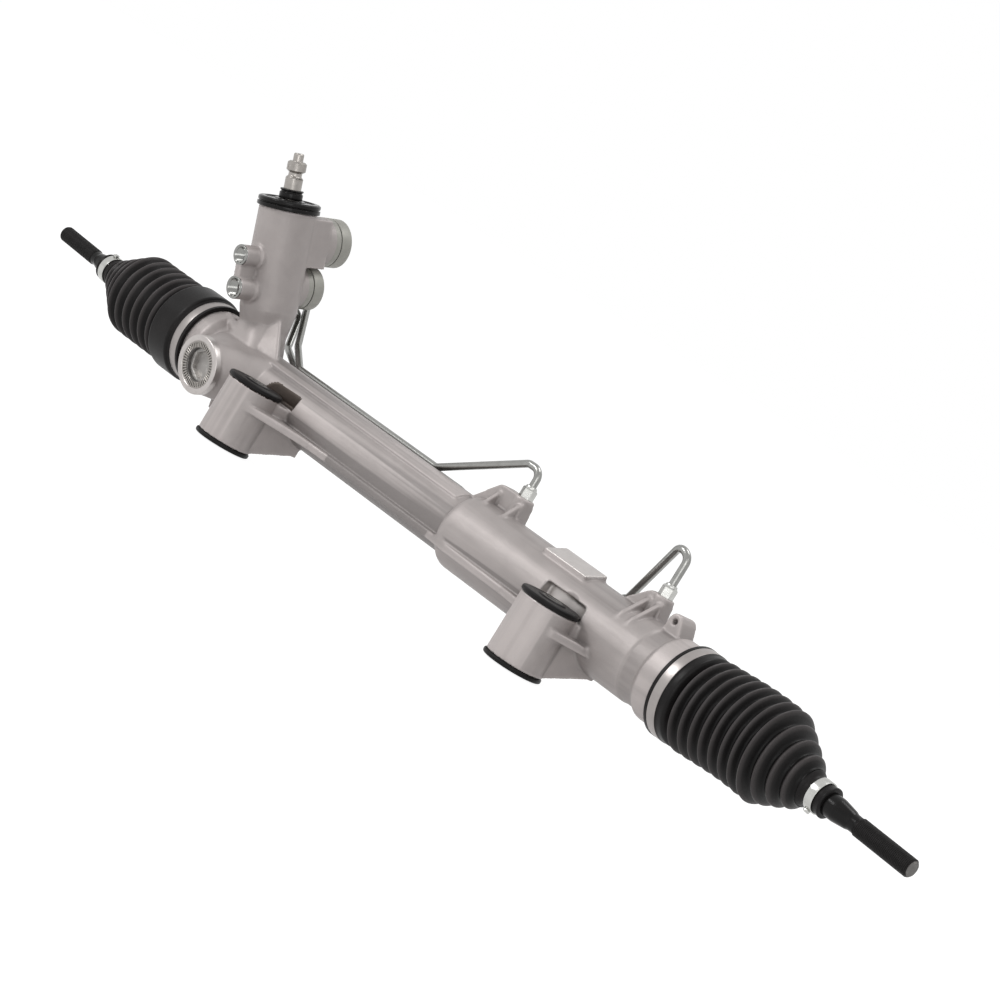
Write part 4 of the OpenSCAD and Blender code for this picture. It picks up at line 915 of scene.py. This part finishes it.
class RACK_OT_bushes(bpy.types.Operator):
    """Rubber bushes of the mounting eyes with their steel sleeves"""

    bl_idname = "rack.bushes"
    bl_label = "Mounting bushes"

    def execute(self, context):
        for side in SIDES:
            at = EYES[side] @ UP
            flange = [
                (0.0, 20.5), (0.0, 25.9), (0.9, 26.8), (3.4, 26.8), (4.4, 25.6), (4.9, 21), (4.4, 17.5),
                (4.3, 13.2), (5.4, 12.2), (5.4, 9.5),
            ]
            lower = [
                (-54.8, 9.5), (-58.8, 9.5), (-58.8, 12.4), (-59.0, 25.9), (-58.1, 26.8), (-55.9, 26.8),
                (-55.0, 25.9), (-55.0, 20.5),
            ]
            profile = rounded(flange[::-1] + [(0.0, 20.5), (-55.0, 20.5)] + lower[::-1][1:], 0.4)
            bush = turned(profile, 96, True)
            settle(bush, side + "_bush", at, "soft", "housing", [side + "_bush_rubber"], sharp=50)
            sleeve = ring([(-60, 7), (-60, 9.5), (5.5, 9.5), (5.5, 7)], 0.4)
            settle(turned(sleeve, 64, True), side + "_sleeve", at, "iron", "housing", [side + "_bush_sleeve"])
        return {"FINISHED"}


def tower_point(x, y, z):
    """A point of the tower's frame in the rack's frame."""
    return RACK.inverted() @ TOWER @ Vector((x, y, z))


def around(x, reach, degrees):
    """A point beside the rack's axis, degrees from the back towards the top."""
    return Vector((x, reach * math.cos(math.radians(degrees)), reach * math.sin(math.radians(degrees))))


def bent(corners, bend):
    """Centre line through corners, each rounded by a true bend."""
    line = [corners[0]]
    for before, at, after in zip(corners, corners[1:], corners[2:]):
        inward, outward = (at - before).normalized(), (after - at).normalized()
        angle = inward.angle(outward)
        if angle < 0.01:
            continue
        side = (outward - inward * inward.dot(outward)).normalized()
        start = at - inward * bend * math.tan(angle / 2)
        steps = max(2, math.ceil(math.degrees(angle) / 6))
        for i in range(steps + 1):
            t = angle * i / steps
            line.append(start + side * bend * (1 - math.cos(t)) + inward * bend * math.sin(t))
    return line + [corners[-1]]


def swept(line, radius, sides=20):
    """A round bar along a line, its ring extruded from point to point."""
    bm = bmesh.new()
    heading = (line[1] - line[0]).normalized()
    start = Matrix.Translation(line[0]) @ heading.to_track_quat("Z", "X").to_matrix().to_4x4()
    bmesh.ops.create_circle(bm, cap_ends=True, radius=radius, segments=sides, matrix=start)
    face = bm.faces[:]
    for i in range(1, len(line)):
        behind = (line[i] - line[i - 1]).normalized()
        ahead = (line[i + 1] - line[i]).normalized() if i + 1 < len(line) else behind
        now = (behind + ahead).normalized()
        made = bmesh.ops.extrude_face_region(bm, geom=face)
        verts = extruded(made)
        if i > 1:
            bmesh.ops.delete(bm, geom=face, context="FACES_ONLY")
        face = [g for g in made["geom"] if isinstance(g, bmesh.types.BMFace)]
        swing = heading.rotation_difference(now).to_matrix().to_4x4()
        carry = Matrix.Translation(line[i]) @ swing @ Matrix.Translation(-line[i - 1])
        bmesh.ops.transform(bm, matrix=carry, verts=verts)
        heading = now
    bmesh.ops.recalc_face_normals(bm, faces=bm.faces[:])
    return bm


class RACK_OT_pipes(bpy.types.Operator):
    """Two bent steel pipes from the tower to the cylinder, with their flare nuts"""

    bl_idname = "rack.pipes"
    bl_label = "Turn pipes"

    def execute(self, context):
        s = sizes()
        radius = s["pipe_radius"]
        run, wide = 28.1 + radius, 35.7 + radius
        left = [
            tower_point(-21, 31.5, 102), tower_point(-21, 63.5, 102), tower_point(-8, 54, 61),
            Vector((64, 30, 44)), around(100, run, 69), around(303, run, 69), Vector((395, 6, 79)),
            Vector((411, 6, 79)), Vector((411, 6, 45)),
        ]
        right = [
            tower_point(-18, 26, 59), tower_point(-18, 58, 59), Vector((44, 40, 36)), around(90, run, 52),
            around(334, run, 52), around(374, wide, 12), around(500, wide, 12), Vector((538, 32, 32)),
            Vector((575, 6, 95)), Vector((588, 6, 89)), Vector((588, 6, 45)),
        ]
        for name, route in (("left", left), ("right", right)):
            settle(
                swept(bent(route, s["pipe_bend"]), radius), name + "_pipe", RACK, "pipe", "housing",
                [name + "_turn_pipe"], sharp=40,
            )
        places = [(RACK @ shift(x, 6, 53), "cylinder") for x in (411, 588)]
        places += [(TOWER @ shift(*at) @ turn(-90, "X"), "tower") for at in ((-21, 39.5, 102), (-18, 34, 59))]
        for i, (at, where) in enumerate(places):
            nut = prism(6, 12 / math.sqrt(3), 9.0, 0.9)
            rim = radius + 0.1
            collar = [(0, rim), (0, 5.6), (1.2, 5.6), (1.2, 5.2), (2.6, 4.8), (2.6, rim)]
            neck = placed(turned(rounded(collar, 0.3), 32), shift(0, 0, 8.8) @ UP)
            whole = joined(nut, neck)
            settle(whole, f"{where}_nut_{i}", at, "zinc", "housing", ["flare_nuts"], sharp=25)
        return {"FINISHED"}


INNER = {
    "inner_steel": (
        "rack_bar", "piston", "end_bush", "pinion", "needle_bearing", "ball_bearing", "valve_sleeve",
        "input_shaft", "shaft_bearing", "yoke", "yoke_spring", "left_ball", "right_ball", "left_bush_shell",
        "right_bush_shell",
    ),
    "iron": ("end_ring", "torsion_bar", "left_socket", "right_socket"),
    "zinc": ("pinion_nut", "bottom_cover", "lock_washers"),
    "polymer": ("piston_ring", "sleeve_rings", "yoke_liner", "left_ball_seat", "right_ball_seat"),
    "bronze": ("inner_rack_bush",),
    "soft": ("inner_rack_seal", "outer_rack_seal", "shaft_seal"),
}


class RACK_OT_inner(bpy.types.Operator):
    """Finishes of the CAD parts that stay as they are, mostly inside the case"""

    bl_idname = "rack.inner"
    bl_label = "Inner parts"

    def execute(self, context):
        for look, names in INNER.items():
            for name in names:
                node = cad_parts[name]
                node.data.materials.clear()
                node.data.materials.append(finish(look))
        return {"FINISHED"}


# Studio: a lamp is its name, place from the rack's middle, size in metres and power in watts. The camera's axes
# are its right, up and back.

WHITE = (1, 1, 1, 1)
AMBIENT, FLOOR_GLOW, FLOOR_SHADE = 0.28, 0.94, 0.30
LAMPS = (
    ("key lamp", (-1.1, -1.8, 1.1), 0.8, 22.0),
    ("top lamp", (0.3, 0.4, 2.0), 1.0, 12.5),
    ("side lamp", (2.0, -0.7, 1.1), 0.9, 3.0),
    ("front lamp", (1.3, -1.6, 0.1), 1.2, 9.0),
)
CAMERA_LENS = 102.24
CAMERA_AT = (1.7950, -1.7890, 0.3008)
CAMERA_AXES = ((0.62808, 0.57806, 0.52092), (-0.44784, -0.27894, 0.84949), (0.63636, -0.76684, 0.08368))


class RACK_OT_stage(bpy.types.Operator):
    """Pale floor, white surroundings, four soft lamps and the camera"""

    bl_idname = "rack.stage"
    bl_label = "Studio"

    def execute(self, context):
        scene = context.scene
        low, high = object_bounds()
        bm = bmesh.new()
        bmesh.ops.create_grid(bm, x_segments=1, y_segments=1, size=30, matrix=shift(0, 0, low.z - 0.0005))
        mesh = bpy.data.meshes.new("floor")
        bm.to_mesh(mesh)
        bm.free()
        floor = bpy.data.objects.new("floor", mesh)
        scene.collection.objects.link(floor)
        f = Finish("studio floor")
        pale = tuple(scene.rack_colours.floor)
        plain = f.node("BsdfDiffuse", {}, {"Color": (*pale, 1)})
        glow = f.node("Emission", {}, {"Color": WHITE, "Strength": FLOOR_GLOW})
        shadowed = f.node("BsdfDiffuse", {}, {"Color": (FLOOR_SHADE, FLOOR_SHADE, FLOOR_SHADE, 1)})
        lit = f.node("AddShader", {}, {0: glow, 1: shadowed})
        floor.data.materials.append(f.close(f.node("MixShader", {}, {"Fac": f.in_view(), 1: plain, 2: lit})))
        floor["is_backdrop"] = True

        world = bpy.data.worlds.new("studio")
        scene.world = world
        w = Finish("studio", world)
        ambient = w.node("Background", {}, {"Color": WHITE, "Strength": AMBIENT})
        white = w.node("Background", {}, {"Color": WHITE, "Strength": 1.0})
        w.close(w.node("MixShader", {}, {"Fac": w.in_view(), 1: ambient, 2: white}), "World")

        middle = (low + high) / 2
        for name, offset, size, power in LAMPS:
            data = bpy.data.lights.new(name, "AREA")
            data.shape, data.size, data.energy = "DISK", size, power
            lamp = bpy.data.objects.new(name, data)
            lamp.location = middle + Vector(offset)
            lamp.rotation_euler = (-Vector(offset)).to_track_quat("-Z", "Y").to_euler()
            scene.collection.objects.link(lamp)

        data = bpy.data.cameras.new("camera")
        data.lens, data.sensor_width, data.clip_start, data.clip_end = CAMERA_LENS, 36.0, 0.05, 200.0
        camera = bpy.data.objects.new("camera", data)
        camera.matrix_world = Matrix.Translation(CAMERA_AT) @ Matrix(CAMERA_AXES).transposed().to_4x4()
        scene.collection.objects.link(camera)
        scene.camera = camera
        scene.view_settings.view_transform = "Standard"
        return {"FINISHED"}


class RACK_PT_panel(bpy.types.Panel):
    bl_idname = "RACK_PT_panel"
    bl_label = "Steering rack"
    bl_space_type = "VIEW_3D"
    bl_region_type = "UI"
    bl_category = "Rack"

    def draw(self, context):
        for step in STEPS:
            self.layout.operator(step.bl_idname)
        for group in (context.scene.rack_sizes, context.scene.rack_colours):
            for name in group.__annotations__:
                self.layout.prop(group, name)


STEPS = (
    RACK_OT_casting, RACK_OT_boots, RACK_OT_clamps, RACK_OT_rods, RACK_OT_tower, RACK_OT_adjuster,
    RACK_OT_bushes, RACK_OT_pipes, RACK_OT_inner, RACK_OT_stage,
)
CLASSES = (RackSizes, RackColours, *STEPS, RACK_PT_panel)


def register():
    for cls in CLASSES:
        bpy.utils.register_class(cls)
    bpy.types.Scene.rack_sizes = PointerProperty(type=RackSizes)
    bpy.types.Scene.rack_colours = PointerProperty(type=RackColours)


def unregister():
    del bpy.types.Scene.rack_colours
    del bpy.types.Scene.rack_sizes
    for cls in reversed(CLASSES):
        bpy.utils.unregister_class(cls)


def main():
    register()
    for step in STEPS:
        group, name = step.bl_idname.split(".")
        getattr(getattr(bpy.ops, group), name)()


if __name__ == "__main__":
    main()
